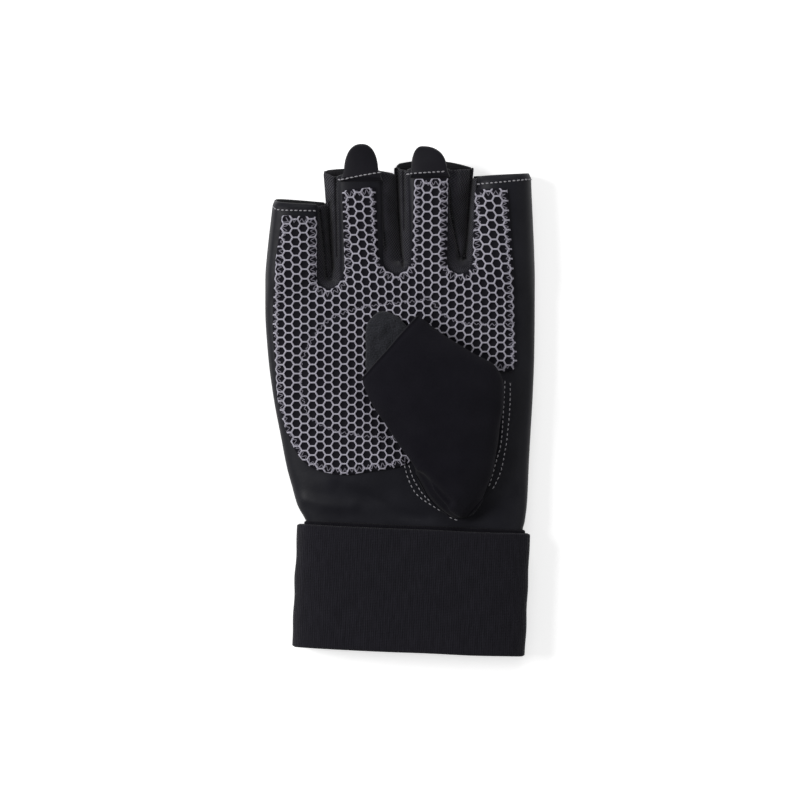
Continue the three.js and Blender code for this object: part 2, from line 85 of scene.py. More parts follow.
# Shape of the hand part: along, left, right, lift of the underside, top, as shares of the palm's size.
PALM_ROWS = [
    (0.045, -0.745, 0.93, 0.75, 0.935),
    (0.08, -0.765, 0.94, 0.45, 0.955),
    (0.14, -0.79, 0.948, 0.12, 0.985),
    (0.23, -0.835, 0.955, 0, 1),
    (0.36, -0.88, 0.968, 0, 1),
    (0.52, -0.935, 0.985, 0, 1),
    (0.72, -0.98, 0.997, 0, 1),
    (0.9, -1, 1, 0, 0.985),
    (0.97, -1, 1, 0, 0.965),
]
STALL_LINES = [(-0.5, -0.464), (-0.252, -0.284), (0.004, -0.015), (0.232, 0.272), (0.5, 0.486)]
FINGERS = {
    "little": {"reach": 0.66, "back": 0.705, "slope": -0.05, "back_slope": -0.09, "hem": 4.8},
    "ring": {"reach": 0.955, "back": 0.98, "slope": 0.12, "back_slope": -0.05, "hem": 6, "bow": 1.3},
    "middle": {"reach": 0.995, "back": 1.04, "slope": 0.02, "back_slope": -0.05, "hem": 3.6, "bow": 2.2},
    "index": {"reach": 0.94, "back": 0.953, "slope": 0.05, "back_slope": 0.05, "hem": 5.2},
}
SLOTS = {
    "little_ring": {"left": (-0.3, -0.296), "right": (-0.227, -0.233), "drop": 1, "web": 3},
    "ring_middle": {"left": (-0.06, -0.07), "right": (0.034, 0.018), "drop": 0, "web": 4.5},
    "middle_index": {"left": (0.18, 0.182), "right": (0.262, 0.286), "drop": 0, "web": 6},
}
SLOT_END = PALM_LENGTH + 1.5 * FINGER_LENGTH
SLOT_MOUTH = 135
PATCH_OUTLINE = [
    (-0.911, 1.05), (-0.933, 0.812), (-0.912, 0.614), (-0.893, 0.49), (-0.828, 0.364), (-0.737, 0.271),
    (-0.614, 0.22), (-0.41, 0.2), (-0.222, 0.214), (-0.037, 0.228), (0.07, 0.25), (0.14, 0.28),
    (0.222, 0.376), (0.333, 0.475), (0.481, 0.554), (0.667, 0.606), (0.848, 0.622), (0.843, 0.772),
    (0.836, 1.0),
]
PATCH_TIPS = (-0.865, 0.79)
# Leather left bare beside each slot, at its root and at the mouth, on its left and on its right.
PATCH_MARGINS = {
    "little_ring": ((1.0, 1.2), (3.0, 2.0)),
    "ring_middle": ((2.0, 2.8), (1.0, 3.2)),
    "middle_index": ((1.1, 0.4), (1.0, 0.8)),
}
PATCH = 1.1

# Thumb stall: x, along, width, height, turn of each section from the mouth to the foot.
THUMB_WIDTH = 50
THUMB_HEIGHT = 11
THUMB_WALL = 1.4
THUMB_STAND = PATCH + 2 * GAP
THUMB_ROWS = [
    (-0.039, 0.701, 0.686, 0.8, 48.3),
    (0.022, 0.626, 0.78, 0.93, 45.8),
    (0.111, 0.526, 0.902, 1, 44.8),
    (0.194, 0.446, 0.996, 1, 47),
    (0.247, 0.356, 0.992, 0.93, 53.7),
    (0.273, 0.216, 0.706, 0.8, 55.9),
    (0.278, 0.111, 0.388, 0.56, 51.7),
    (0.274, 0.072, 0.202, 0.3, 50.6),
]
HOLE = {"x": 27.7, "y": 33.0, "radii": (10.5, 17), "turn": -0.35}
LOBE_REACH = 12.5
LOBE_ROWS = [
    (-0.5, -0.72, 0.6), (0, -0.73, 0.61), (0.21, -0.61, 0.62), (0.43, -0.42, 0.635), (0.76, -0.16, 0.57),
    (0.93, 0, 0.48), (1, 0.12, 0.37),
]
TABS = {
    "ring": {"middle": -0.142, "width": 0.153, "reach": 0.28, "peak": 0.03, "lean": -0.01, "taper": 0.79},
    "middle": {"middle": 0.1115, "width": 0.142, "reach": 0.222, "peak": -0.4, "lean": -0.03, "taper": 0.88},
}
TAB = 1.3
TAB_ROOT = 3
NAMES, SLOT_LIST = list(FINGERS), list(SLOTS.values())


# Curves and small sums

def smoothstep(x, low, high):
    t = np.clip((np.asarray(x, float) - low) / (high - low), 0, 1)
    return t * t * (3 - 2 * t)


def mix(a, b, t):
    return a + (b - a) * t


def bell(x, width):
    """1 at x = 0, and near 0 from about two widths away."""
    return np.exp(-((x / width) ** 2))


def unit(v):
    return v / np.maximum(np.linalg.norm(v, axis=-1, keepdims=True), 1e-9)


def way(p):
    """How far along a path each of its points lies."""
    return np.concatenate([[0], np.cumsum(np.linalg.norm(np.diff(p, axis=0), axis=1))])


def monotone(xs, ys):
    """A smooth curve through points that never overshoots them, level outside them."""
    xs, ys = np.asarray(xs, float), np.asarray(ys, float)
    h = np.diff(xs)
    d = np.diff(ys) / h
    slope = np.zeros(len(xs))
    same = d[:-1] * d[1:] > 0
    w1, w2 = 2 * h[1:] + h[:-1], h[1:] + 2 * h[:-1]
    inner = np.zeros(len(d) - 1)
    inner[same] = (w1 + w2)[same] / (w1[same] / d[:-1][same] + w2[same] / d[1:][same])
    slope[1:-1] = inner

    def curve(x):
        x = np.clip(x, xs[0], xs[-1])
        k = np.clip(np.searchsorted(xs, x, side="right") - 1, 0, len(h) - 1)
        t = (x - xs[k]) / h[k]
        a = ys[k] * (1 + 2 * t) * (1 - t) ** 2 + slope[k] * h[k] * t * (1 - t) ** 2
        b = ys[k + 1] * t * t * (3 - 2 * t) + slope[k + 1] * h[k] * t * t * (t - 1)
        return a + b

    return curve


def spline(points, count):
    """A smooth curve through points, as count points at equal distances."""
    p = np.asarray(points, float)
    reach = way(p)
    dense = np.linspace(0, reach[-1], 40 * len(p))
    ends = np.concatenate([[2 * p[0] - p[1]], p, [2 * p[-1] - p[-2]]])
    k = np.clip(np.searchsorted(reach, dense, side="right") - 1, 0, len(p) - 2)
    t = ((dense - reach[k]) / (reach[k + 1] - reach[k]))[:, None]
    a, b, c, d = ends[k], ends[k + 1], ends[k + 2], ends[k + 3]
    fine = 0.5 * (2 * b + (c - a) * t + (2 * a - 5 * b + 4 * c - d) * t**2 + (3 * b - a - 3 * c + d) * t**3)
    return resample(fine, count)


def resample(p, count):
    """A path as count points at equal distances."""
    reach = way(p)
    at = np.linspace(0, reach[-1], count)
    return np.stack([np.interp(at, reach, p[:, k]) for k in range(p.shape[1])], axis=1)


def spaced(p, step):
    """A path as points at distances of about one step."""
    p = np.asarray(p, float)
    return resample(p, max(2, round(way(p)[-1] / step) + 1))


def spaced_ring(ring, step):
    return spaced(np.vstack([ring, ring[:1]]), step)[:-1]


def waves(x, y, seed, size, count=14):
    """Smooth noise of about -1 to 1, as a sum of waves with lengths round size."""
    rng = np.random.default_rng(seed)
    total = np.zeros(np.broadcast(x, y).shape)
    for _ in range(count):
        angle, phase = rng.uniform(0, 2 * math.pi, 2)
        wave = size * rng.uniform(0.7, 1.6)
        total += np.sin(2 * math.pi * (x * math.cos(angle) + y * math.sin(angle)) / wave + phase)
    return total / math.sqrt(count)


def blur(table, sigma, axis):
    """A table smoothed along one axis, sigma in cells."""
    reach = int(3 * sigma)
    kernel = np.exp(-0.5 * (np.arange(-reach, reach + 1) / sigma) ** 2)
    kernel /= kernel.sum()
    pad = [(0, 0), (0, 0)]
    pad[axis] = (reach, reach)
    padded = np.pad(table, pad, mode="edge")
    out = np.zeros_like(table)
    for k, weight in enumerate(kernel):
        part = [slice(None), slice(None)]
        part[axis] = slice(k, k + table.shape[axis])
        out += weight * padded[tuple(part)]
    return out


def to_polygon(points, polygon, reach=9.0):
    """Distance of each point to a closed polygon's edge, at most reach, and below 0 outside it."""
    a = np.asarray(polygon, float)
    b = np.roll(a, -1, axis=0)
    x, y = np.ascontiguousarray(points[:, 0]), np.ascontiguousarray(points[:, 1])
    near = np.full(len(points), reach)
    inside = np.zeros(len(points), bool)
    for (ax, ay), (bx, by) in zip(a, b):
        if ay != by:
            over = (ay > y) != (by > y)
            over[over] = x[over] < ax + (y[over] - ay) * (bx - ax) / (by - ay)
            inside ^= over
        close = np.nonzero(
            (x > min(ax, bx) - reach) & (x < max(ax, bx) + reach)
            & (y > min(ay, by) - reach) & (y < max(ay, by) + reach)
        )[0]
        px, py = x[close] - ax, y[close] - ay
        t = np.clip((px * (bx - ax) + py * (by - ay)) / max((bx - ax) ** 2 + (by - ay) ** 2, 1e-12), 0, 1)
        away = np.hypot(px - t * (bx - ax), py - t * (by - ay))
        near[close] = np.minimum(near[close], away)
    return np.where(inside, near, -near)


def to_path(x, y, path):
    """Distance of each point to an open path."""
    points = np.stack([x, y], axis=-1).reshape(-1, 2)
    near = np.full(len(points), 1e9)
    for start, end in zip(path[:-1], path[1:]):
        ab = end - start
        t = np.clip(((points - start) @ ab) / (ab @ ab), 0, 1)
        near = np.minimum(near, np.linalg.norm(points - start - t[:, None] * ab, axis=1))
    return near.reshape(np.shape(x))


# The shape of the hand

def crotch_at(x):
    """y at which the fingers part, lower between little and ring finger."""
    little, ring = STALL_LINES[1][0], (STALL_LINES[1][0] + 2 * STALL_LINES[2][0]) / 3
    return PALM_LENGTH - CROTCH_DROP * smoothstep(-np.asarray(x) / PALM_WIDTH, -ring, -little)


ROWS = np.array(PALM_ROWS)
CUFF_V = np.array([SLEEVE_END, -20, -2.5])
CUFF_X = WRAP_SHIFT + (CUFF_V - WRAP_MIDDLE) * -math.sin(WRAP_TURN)
HALF = PALM_WIDTH / 2
HAND_START = 1.2
left_edge = monotone(
    [*CUFF_V, HAND_START, *(ROWS[:-1, 0] * KNUCKLES), 99, 108, 142],
    [*(CUFF_X - CUFF_WIDTH / 2), -38.4, *(ROWS[:-1, 1] * HALF), -HALF, -53.35, -50.1],
)
right_edge = monotone(
    [*CUFF_V, HAND_START, *(ROWS[:, 0] * PALM_LENGTH), 108, 142],
    [*(CUFF_X + CUFF_WIDTH / 2), 49.6, *(ROWS[:, 2] * HALF), 53.75, 52.5],
)
palm_low = monotone(
    [*CUFF_V, HAND_START, *(ROWS[:, 0] * PALM_LENGTH)],
    [CUFF_LOW] * 4 + list(ROWS[:, 3] * CUFF_LOW),
)
palm_high = monotone(
    [*CUFF_V, HAND_START, *(ROWS[:, 0] * PALM_LENGTH), 102, 104.5, 105.5, 108],
    [CUFF_HIGH] * 4 + [*(ROWS[:, 4] * PALM_HEIGHT), 17.7, 16, 11.8, 2],
)


def stall_edges(number, y):
    """x of a finger stall's two sides."""
    past = np.clip(np.asarray(y, float) - PALM_LENGTH, 0, None) / FINGER_LENGTH
    lines = [mix(root, mouth, past) * PALM_WIDTH for root, mouth in STALL_LINES[number : number + 2]]
    return lines[0] + (STALL_SEAM if number else 0), lines[1] - (STALL_SEAM if number < 3 else 0)


def stall_high(y):
    """Height of the middle of a finger stall."""
    past = (np.asarray(y, float) - PALM_LENGTH) / FINGER_LENGTH
    high = mix(0.94 * PALM_HEIGHT, FINGER_HEIGHT, np.clip(past, 0, 1))
    return high - 4 * (1 - smoothstep(y, PALM_LENGTH - STALL_RUN, PALM_LENGTH))


def arch(x, left, right, high, low, roundness, side=1):
    """Height at x of the upper (side 1) or lower (side -1) half of an oval section."""
    across = np.abs(2 * x - left - right) / (right - left)
    rise = (1 - np.minimum(across, 1) ** roundness) ** (1 / roundness)
    half = (high - low + SETTLE) / 2
    centre = high - half
    return np.where(across > 1, centre - side * FAR, centre + side * half * rise)


def soft_max(a, b, width):
    """The larger of two heights, rounded where they cross."""
    return (a + b + np.sqrt((a - b) ** 2 + width**2)) / 2


def hand_height(x, y, side):
    """Height of the palm (side 1) or of the underside (side -1) over a point of the plan."""
    left, right = left_edge(y) - 1e-6, right_edge(y) + 1e-6
    if side < 0:
        high = palm_high(np.minimum(y, KNUCKLES))
        flat = arch(x, left, right, high, palm_low(y), BOTTOM_ROUND, side)
        return soft_max(flat, palm_low(y), 0.5)
    along = y * PALM_LENGTH / crotch_at(x)
    out = arch(x, left, right, palm_high(along), palm_low(y), TOP_ROUND)
    for number in range(4):
        first, last = stall_edges(number, y)
        if number == 0:
            first = np.minimum(first, left)
        if number == 3:
            last = np.maximum(last, right)
        stall = arch(x, first, last, stall_high(y), 0, TOP_ROUND)
        stall = np.where(y > PALM_LENGTH - STALL_RUN, stall, -FAR)
        out = soft_max(out, stall, 0.7)
    return out


SKIN_STEP_V = 0.5
SKIN_STEP_U = 0.25
SKIN_V = np.arange(SLEEVE_END - 2, 148, SKIN_STEP_V)
SKIN_U = np.arange(-78, 78.01, SKIN_STEP_U)
SKIN_TURNS = 900
WALL_ROWS = 11
BREAK = 5.0  # nearer the sides than this, u follows the cloth round instead of x


def seam_height(v):
    """Height of the seam between palm and back."""
    palm, stall = palm_high(np.minimum(v, KNUCKLES)), stall_high(np.maximum(v, PALM_LENGTH))
    return mix(palm_low(v), mix(palm, stall, smoothstep(v, 88, 112)), SEAM_SHARE)


class Skin:
    """The hand's upper or lower surface as a table from the unrolled cloth (u, v) to a point."""

    def __init__(self, side):
        self.side = side
        x_rows, z_rows, ends = [], [], []
        for v in SKIN_V:
            left, right = float(left_edge(v)), float(right_edge(v))
            turn = np.linspace(0, math.pi, SKIN_TURNS)
            x = (left + right) / 2 - (right - left) / 2 * np.cos(turn) * (1 - 1e-9)
            z = hand_height(x, np.full_like(x, v), side)
            seam = float(seam_height(np.float64(v)))
            if side > 0:
                # The palm's side walls go on down to the seam.
                drop = np.linspace(1, 0, WALL_ROWS + 1)[:-1]
                x = np.concatenate([np.full(WALL_ROWS, left), x, np.full(WALL_ROWS, right)])
                z = np.concatenate([mix(z[0], seam, drop), z, mix(z[-1], seam, drop[::-1])])
            else:
                z = np.minimum(z, seam)
            reach = np.concatenate([[0], np.cumsum(np.hypot(np.diff(x), np.diff(z)))])
            inner = np.nonzero((x > left + BREAK) & (x < right - BREAK))[0]
            first, last = inner[0], inner[-1]
            u = x.copy()
            u[:first] = x[first] - (reach[first] - reach[:first])
            u[last + 1 :] = x[last] + (reach[last + 1 :] - reach[last])
            u += np.arange(len(u)) * 1e-9
            x_rows.append(np.interp(SKIN_U, u, x))
            beyond = np.maximum(u[0] - SKIN_U, 0) + np.maximum(SKIN_U - u[-1], 0)
            z_rows.append(np.interp(SKIN_U, u, z) - side * beyond)
            ends.append((u[0], u[-1]))
        self.x = blur(np.array(x_rows), 4, 0)
        self.z = blur(blur(np.array(z_rows), 4, 0), 3, 1)
        self.ends = blur(np.array(ends), 4, 0)

    def seam(self, v, which):
        """u of the left (0) or right (1) seam."""
        return np.interp(v, SKIN_V, self.ends[:, which])

    def flat(self, u, v):
        """Points of the smooth surface, without wrinkles."""
        u, v = np.broadcast_arrays(np.asarray(u, float), np.asarray(v, float))
        i = np.clip((v - SKIN_V[0]) / SKIN_STEP_V, 0, len(SKIN_V) - 1.001)
        j = np.clip((u - SKIN_U[0]) / SKIN_STEP_U, 0, len(SKIN_U) - 1.001)
        row, column = i.astype(int), j.astype(int)
        a, b = i - row, j - column

        def look(table):
            upper = table[row, column] * (1 - b) + table[row, column + 1] * b
            lower = table[row + 1, column] * (1 - b) + table[row + 1, column + 1] * b
            return upper * (1 - a) + lower * a

        x, z = look(self.x), look(self.z)
        tilt = math.tan(WRAP_TURN) * (1 - smoothstep(v, 0, 14))
        return np.stack([x, v + tilt * (x - WRAP_SHIFT), z], axis=-1)

    def normal(self, u, v, step=0.8):
        across = self.flat(u + step, v) - self.flat(u - step, v)
        along = self.flat(u, v + step) - self.flat(u, v - step)
        return unit(np.cross(across, along) * self.side)

    def at(self, u, v, out=0.0):
        """Points on the wrinkled cloth, out above it."""
        u, v = np.broadcast_arrays(np.asarray(u, float), np.asarray(v, float))
        lift = out + relief(u, v, self.side)
        return self.flat(u, v) + self.normal(u, v) * np.asarray(lift)[..., None]


PIXEL = 0.4  # millimetres to one pixel of the photograph
PIXEL_X, PIXEL_Y = 400, 525  # the pixel at x = 0, y = 0


def from_pixels(points):
    """Points of the photograph in the plan's millimetres."""
    p = np.asarray(points, float)
    return np.stack([(p[:, 0] - PIXEL_X) * PIXEL, (PIXEL_Y - p[:, 1]) * PIXEL], axis=1)


# Quilted lines of the palm pads, in the photograph's pixels.
PAD_LINES = [
    spline(from_pixels(pixels), count)
    for pixels, count in (
        ([(304, 400), (301, 372), (308, 348), (328, 322), (358, 309), (392, 304), (430, 300)], 60),
        ([(430, 300), (444, 316), (462, 323), (486, 325), (514, 324)], 40),
        ([(304, 400), (310, 416), (328, 428), (352, 434), (380, 437), (412, 441)], 40),
    )
]

# Soft folds of the heel, with their height and width in millimetres.
HEEL_FOLDS = [
    (spline(from_pixels([(340, 486), (365, 497), (395, 512), (425, 521)]), 30), -0.9, 3.0),
    (spline(from_pixels([(305, 500), (330, 504), (352, 506)]), 20), 0.6, 2.6),
    (spline(from_pixels([(470, 521), (490, 505), (512, 492)]), 20), -0.6, 3.0),
]


def relief(u, v, side):
    """Wrinkles and sewn grooves, as a height over the smooth surface."""
    # Broad soft waves all over, weaker at the sides.
    inland = smoothstep(np.minimum(u - left_edge(v), right_edge(v) - u), 1, 12)
    lift = 0.16 * waves(u, v * 0.6, 3, 26) * mix(0.3, 1, inland)
    if side < 0:
        return 0.4 * lift
    # The heel is gathered across, its folds run out to the sides.
    heel = smoothstep(v, 2, 9) * (1 - smoothstep(v, 22, 40))
    lift = lift + heel * inland * 0.3 * waves(u * 0.28, v, 11, 13)
    for path, height, width in HEEL_FOLDS:
        lift = lift + height * bell(to_path(u, v, path), width) * smoothstep(v, 0.5, 4)
    # The pads rise beside their sewn grooves.
    for path in PAD_LINES:
        near = to_path(u, v, path)
        lift = lift - 0.5 * bell(near, 1.1) + 0.25 * bell(near - 5, 4)
    return lift + 0.35 * bell(u - left_edge(v) - 1.5, 1.6) * smoothstep(v, 50, 70)


# Meshes

FLOOR_GAP = 0.02
UV_SCALE = 10


def make(name, points, faces, material, uv=None, materials=(), face_material=None):
    """A smooth-shaded mesh of points in millimetres."""
    p = np.array(points, float)
    p[:, 1] -= ORIGIN_Y
    p[:, 2] = np.maximum(p[:, 2], FLOOR_GAP)
    mesh = bpy.data.meshes.new(name)
    mesh.from_pydata((p * MM).tolist(), [], [list(map(int, face)) for face in faces])
    mesh.materials.append(material)
    for extra in materials:
        mesh.materials.append(extra)
    if face_material is not None:
        mesh.polygons.foreach_set("material_index", np.asarray(face_material, np.int32))
    if uv is not None:
        corners = np.empty(len(mesh.loops), np.int32)
        mesh.loops.foreach_get("vertex_index", corners)
        layer = mesh.uv_layers.new(name="cloth")
        layer.data.foreach_set("uv", (np.asarray(uv, float)[corners] * MM * UV_SCALE).ravel())
    mesh.polygons.foreach_set("use_smooth", np.ones(len(mesh.polygons), bool))
    mesh.validate()
    mesh.update()
    piece = bpy.data.objects.new(name, mesh)
    bpy.context.scene.collection.objects.link(piece)
    return piece


def domain(outline, holes, step):
    """Triangles of about one size that fill an outline, as (points, faces, distance to the edge)."""
    rings = [spaced_ring(ring, step) for ring in [outline, *holes]]
    low, high = rings[0].min(0), rings[0].max(0)
    rows = np.arange(low[1], high[1], step * math.sqrt(3) / 2)
    grid = np.array([
        (x, y) for k, y in enumerate(rows) for x in np.arange(low[0] + (k % 2) * step / 2, high[0], step)
    ])

    def depth(points):
        near = to_polygon(points, rings[0])
        for ring in rings[1:]:
            near = np.minimum(near, -to_polygon(points, ring))
        return near

    grid = grid[depth(grid) > 0.55 * step]
    points = np.vstack([*rings, grid])
    edges, start = [], 0
    for ring in rings:
        count = len(ring)
        edges += [(start + k, start + (k + 1) % count) for k in range(count)]
        start += count
    found = delaunay_2d_cdt([tuple(p) for p in points], edges, [], 0, 1e-6)
    points = np.array([tuple(p) for p in found[0]])
    faces = np.array([face for face in found[2] if len(face) == 3])
    faces, points = drop_unused(faces[depth(points[faces].mean(1)) > 0], points)
    return points, faces, np.maximum(depth(points), 0)


def drop_unused(faces, *tables):
    """The faces and tables of points without the points that no face uses."""
    used, faces = np.unique(faces, return_inverse=True)
    return faces.reshape(-1, 3), *[table[used] for table in tables]


def border(faces):
    """The directed edges with a face on one side only."""
    edges = np.vstack([faces[:, [0, 1]], faces[:, [1, 2]], faces[:, [2, 0]]])
    key = np.sort(edges, axis=1)
    _, first, count = np.unique(key, axis=0, return_index=True, return_counts=True)
    return edges[first[count == 1]]


def thicken(outer, inner, faces, bulge):
    """A closed sheet with a rounded edge between an outer and an inner layer of the same faces.
    bulge gives how far the edge's middle stands out."""
    count = len(outer)
    rim = border(faces)
    ids = np.unique(rim)
    where = np.full(count, -1)
    where[ids] = np.arange(len(ids)) + 2 * count
    after, before = np.zeros((count, 3)), np.zeros((count, 3))
    after[rim[:, 0]] = outer[rim[:, 1]] - outer[rim[:, 0]]
    before[rim[:, 1]] = outer[rim[:, 1]] - outer[rim[:, 0]]
    tangent = (after + before)[ids]
    across = outer[ids] - inner[ids]
    middle = (outer[ids] + inner[ids]) / 2 + unit(np.cross(tangent, across)) * bulge
    # The layers' own edges come a little closer together, so the edge is round.
    outer, inner = outer.copy(), inner.copy()
    top, under = outer[ids].copy(), inner[ids].copy()
    outer[ids] = mix(top, under, 0.2)
    inner[ids] = mix(under, top, 0.2)
    a, b = rim[:, 0], rim[:, 1]
    walls = [
        np.stack([b, a, where[a], where[b]], axis=1),
        np.stack([where[b], where[a], a + count, b + count], axis=1),
    ]
    points = np.vstack([outer, inner, middle])
    shell = [*faces.tolist(), *(faces[:, ::-1] + count).tolist(), *walls[0].tolist(), *walls[1].tolist()]
    return points, shell, ids


EDGE_BULGE = 0.35


def cloth(outline, holes, step, skin, thickness, curl=0.4):
    """A closed sheet cut to an outline of the unrolled hand and laid on its surface."""
    flat, faces, near = domain(outline, holes, step)
    u, v = flat[:, 0], flat[:, 1]
    outer = skin.at(u, v, -curl * bell(near, 0.9))
    inner = outer - skin.normal(u, v) * thickness
    if skin.side < 0:
        faces = faces[:, ::-1]
    points, shell, ids = thicken(outer, inner, faces, EDGE_BULGE * thickness)
    return points, shell, np.vstack([flat, flat, flat[ids]])


def joined(shells):
    """Several (points, faces, uv) as one."""
    points, faces, uvs = [], [], []
    count = 0
    for p, f, uv in shells:
        points.append(p)
        faces += [[int(k) + count for k in face] for face in f]
        uvs.append(uv)
        count += len(p)
    return np.vstack(points), faces, np.vstack(uvs)


def sheet(outer, inner, uv, bulge):
    """A closed sheet between two grids of points."""
    faces = triangles(grid_faces(*outer.shape[:2]))
    outer, inner, uv = outer.reshape(-1, 3), inner.reshape(-1, 3), uv.reshape(-1, 2)
    faces = facing(faces, outer, inner, len(faces) // 4)
    points, shell, ids = thicken(outer, inner, faces, bulge)
    return points, shell, np.vstack([uv, uv, uv[ids]])


def facing(faces, outer, inner, probe):
    """The faces, turned round if the one probed looks towards the inner layer."""
    a, b, c = faces[probe]
    normal = np.cross(outer[b] - outer[a], outer[c] - outer[a])
    return faces[:, ::-1] if normal @ (outer[a] - inner[a]) < 0 else faces


def grid_faces(rows, columns, wrap=False):
    """Four-cornered faces of a grid of points, closed round each row if wrap is set."""
    k = np.arange(rows * columns).reshape(rows, columns)
    if wrap:
        k = np.hstack([k, k[:, :1]])
    return np.stack([k[:-1, :-1], k[:-1, 1:], k[1:, 1:], k[1:, :-1]], axis=-1).reshape(-1, 4)


def triangles(quads):
    return np.vstack([quads[:, [0, 1, 2]], quads[:, [0, 2, 3]]])


# Materials

def srgb(r, g, b):
    """A colour of the photograph, 0 to 255, as the shader's numbers."""
    c = np.array([r, g, b]) / 255
    return (*np.where(c <= 0.04045, c / 12.92, ((c + 0.055) / 1.055) ** 2.4), 1)


class Paint:
    """A material and short ways to add its nodes."""

    def __init__(self, name, roughness, specular, sheen=0.0, sheen_roughness=0.5):
        self.material = bpy.data.materials.new(name)
        self.material.use_nodes = True
        self.nodes = self.material.node_tree.nodes
        self.links = self.material.node_tree.links
        self.shader = self.nodes["Principled BSDF"]
        for key, value in {
            "Roughness": roughness,
            "Specular IOR Level": specular,
            "Sheen Weight": sheen,
            "Sheen Roughness": sheen_roughness,
        }.items():
            self.shader.inputs[key].default_value = value
        self.height = None

    def node(self, kind, inputs=None, **settings):
        made = self.nodes.new("ShaderNode" + kind)
        for key, value in settings.items():
            setattr(made, key, value)
        for key, value in (inputs or {}).items():
            if isinstance(value, bpy.types.NodeSocket):
                self.links.new(value, made.inputs[key])
            else:
                made.inputs[key].default_value = value
        return made

    def math(self, operation, a, b=0.0):
        return self.node("Math", {0: a, 1: b}, operation=operation).outputs[0]

    def waves(self, value, pitch):
        return self.math("SINE", self.math("MULTIPLY", value, 2 * math.pi / pitch))

    def place(self, scale=(1, 1, 1), turn=0.0, cloth=False):
        """A position in millimetres, in space or on the unrolled cloth."""
        if cloth:
            source = self.node("UVMap", uv_map="cloth").outputs[0]
            scale = tuple(s * 100 for s in scale)
        else:
            source = self.node("TexCoord").outputs["Object"]
            scale = tuple(s * 1000 for s in scale)
        mapping = self.node("Mapping", {"Vector": source, "Scale": scale, "Rotation": (0, 0, turn)})
        return mapping.outputs[0]

    def noise(self, place, size, detail=3.0, rough=0.55):
        inputs = {"Vector": place, "Scale": 1 / size, "Detail": detail, "Roughness": rough}
        return self.node("TexNoise", inputs).outputs[0]

    def cells(self, place, size, feature="F1"):
        inputs = {"Vector": place, "Scale": 1 / size}
        return self.node("TexVoronoi", inputs, feature=feature).outputs[0]

    def bump(self, height, strength, distance_mm):
        inputs = {"Height": height, "Strength": strength, "Distance": distance_mm * MM}
        if self.height is not None:
            inputs["Normal"] = self.height
        self.height = self.node("Bump", inputs).outputs[0]
        self.links.new(self.height, self.shader.inputs["Normal"])

    def paint(self, low, high, factor, span=(0.3, 0.7)):
        """The base colour, from low to high as factor goes over its span."""
        inputs = {"Value": factor, "From Min": span[0], "From Max": span[1]}
        spread = self.node("MapRange", inputs).outputs[0]
        # Sockets 0, 6 and 7 are the factor and the two colours, and output 2 is the colour.
        mixed = self.node("Mix", {0: spread, 6: low, 7: high}, data_type="RGBA").outputs[2]
        self.links.new(mixed, self.shader.inputs["Base Color"])
        return mixed

    def roughen(self, factor, low, high):
        spread = self.node("MapRange", {"Value": factor, "To Min": low, "To Max": high}).outputs[0]
        self.links.new(spread, self.shader.inputs["Roughness"])


def leather(name, low, high, roughness, specular):
    """Fine grain with soft wrinkles, uneven in its shine."""
    p = Paint(name, roughness, specular, 0.06)
    place = p.place()
    soft = p.noise(place, 18, 4)
    p.paint(low, high, soft)
    p.bump(p.cells(place, 0.55, "SMOOTH_F1"), 0.35, 0.05)
    p.bump(p.noise(place, 0.9, 5), 0.3, 0.06)
    p.bump(p.noise(place, 7, 2), 0.25, 0.3)
    p.roughen(p.noise(place, 2.5, 3), roughness - 0.08, roughness + 0.1)
    return p.material


def suede(name, low, high, sheen):
    """A matt nap with soft lighter and darker patches."""
    p = Paint(name, 0.95, 0.06, sheen, 0.6)
    place = p.place()
    nap = p.noise(place, 0.35, 4, 0.7)
    soft = p.noise(place, 9, 3)
    p.paint(low, high, p.math("ADD", p.math("MULTIPLY", nap, 0.5), p.math("MULTIPLY", soft, 0.5)))
    p.bump(nap, 0.6, 0.12)
    p.bump(p.noise(place, 3, 2), 0.3, 0.3)
    return p.material


def fuzzy(name, low, high, size):
    """Terry: small loops in tufts."""
    p = Paint(name, 0.97, 0.05, 0.08, 0.7)
    place = p.place()
    loops = p.cells(place, size)
    tuft = p.noise(place, size * 0.7, 4, 0.7)
    p.paint(low, high, p.math("SUBTRACT", tuft, p.math("MULTIPLY", loops, 0.35)), (0.1, 0.5))
    p.bump(loops, 0.8, 0.4)
    p.bump(tuft, 0.8, 0.25)
    return p.material


def woven(name, low, high, rib, cross, specular, sheen):
    """Elastic: ribs along the band's width, crossed by finer weft."""
    p = Paint(name, 0.85, specular, sheen, 0.5)
    place = p.place(cloth=True)
    wobble = p.noise(place, 4, 2)
    split = p.node("SeparateXYZ", {0: place})
    shifted = p.math("ADD", split.outputs[0], p.math("MULTIPLY", wobble, 0.6))
    weft = p.waves(split.outputs[1], cross)
    height = p.math("ADD", p.waves(shifted, rib), p.math("MULTIPLY", weft, 0.6))
    streak = p.noise(p.place((1, 0.12, 1), cloth=True), 0.9, 3, 0.7)
    p.paint(low, high, p.math("ADD", p.math("MULTIPLY", height, 0.12), streak))
    p.bump(height, 0.5, 0.12)
    p.bump(streak, 0.4, 0.15)
    return p.material


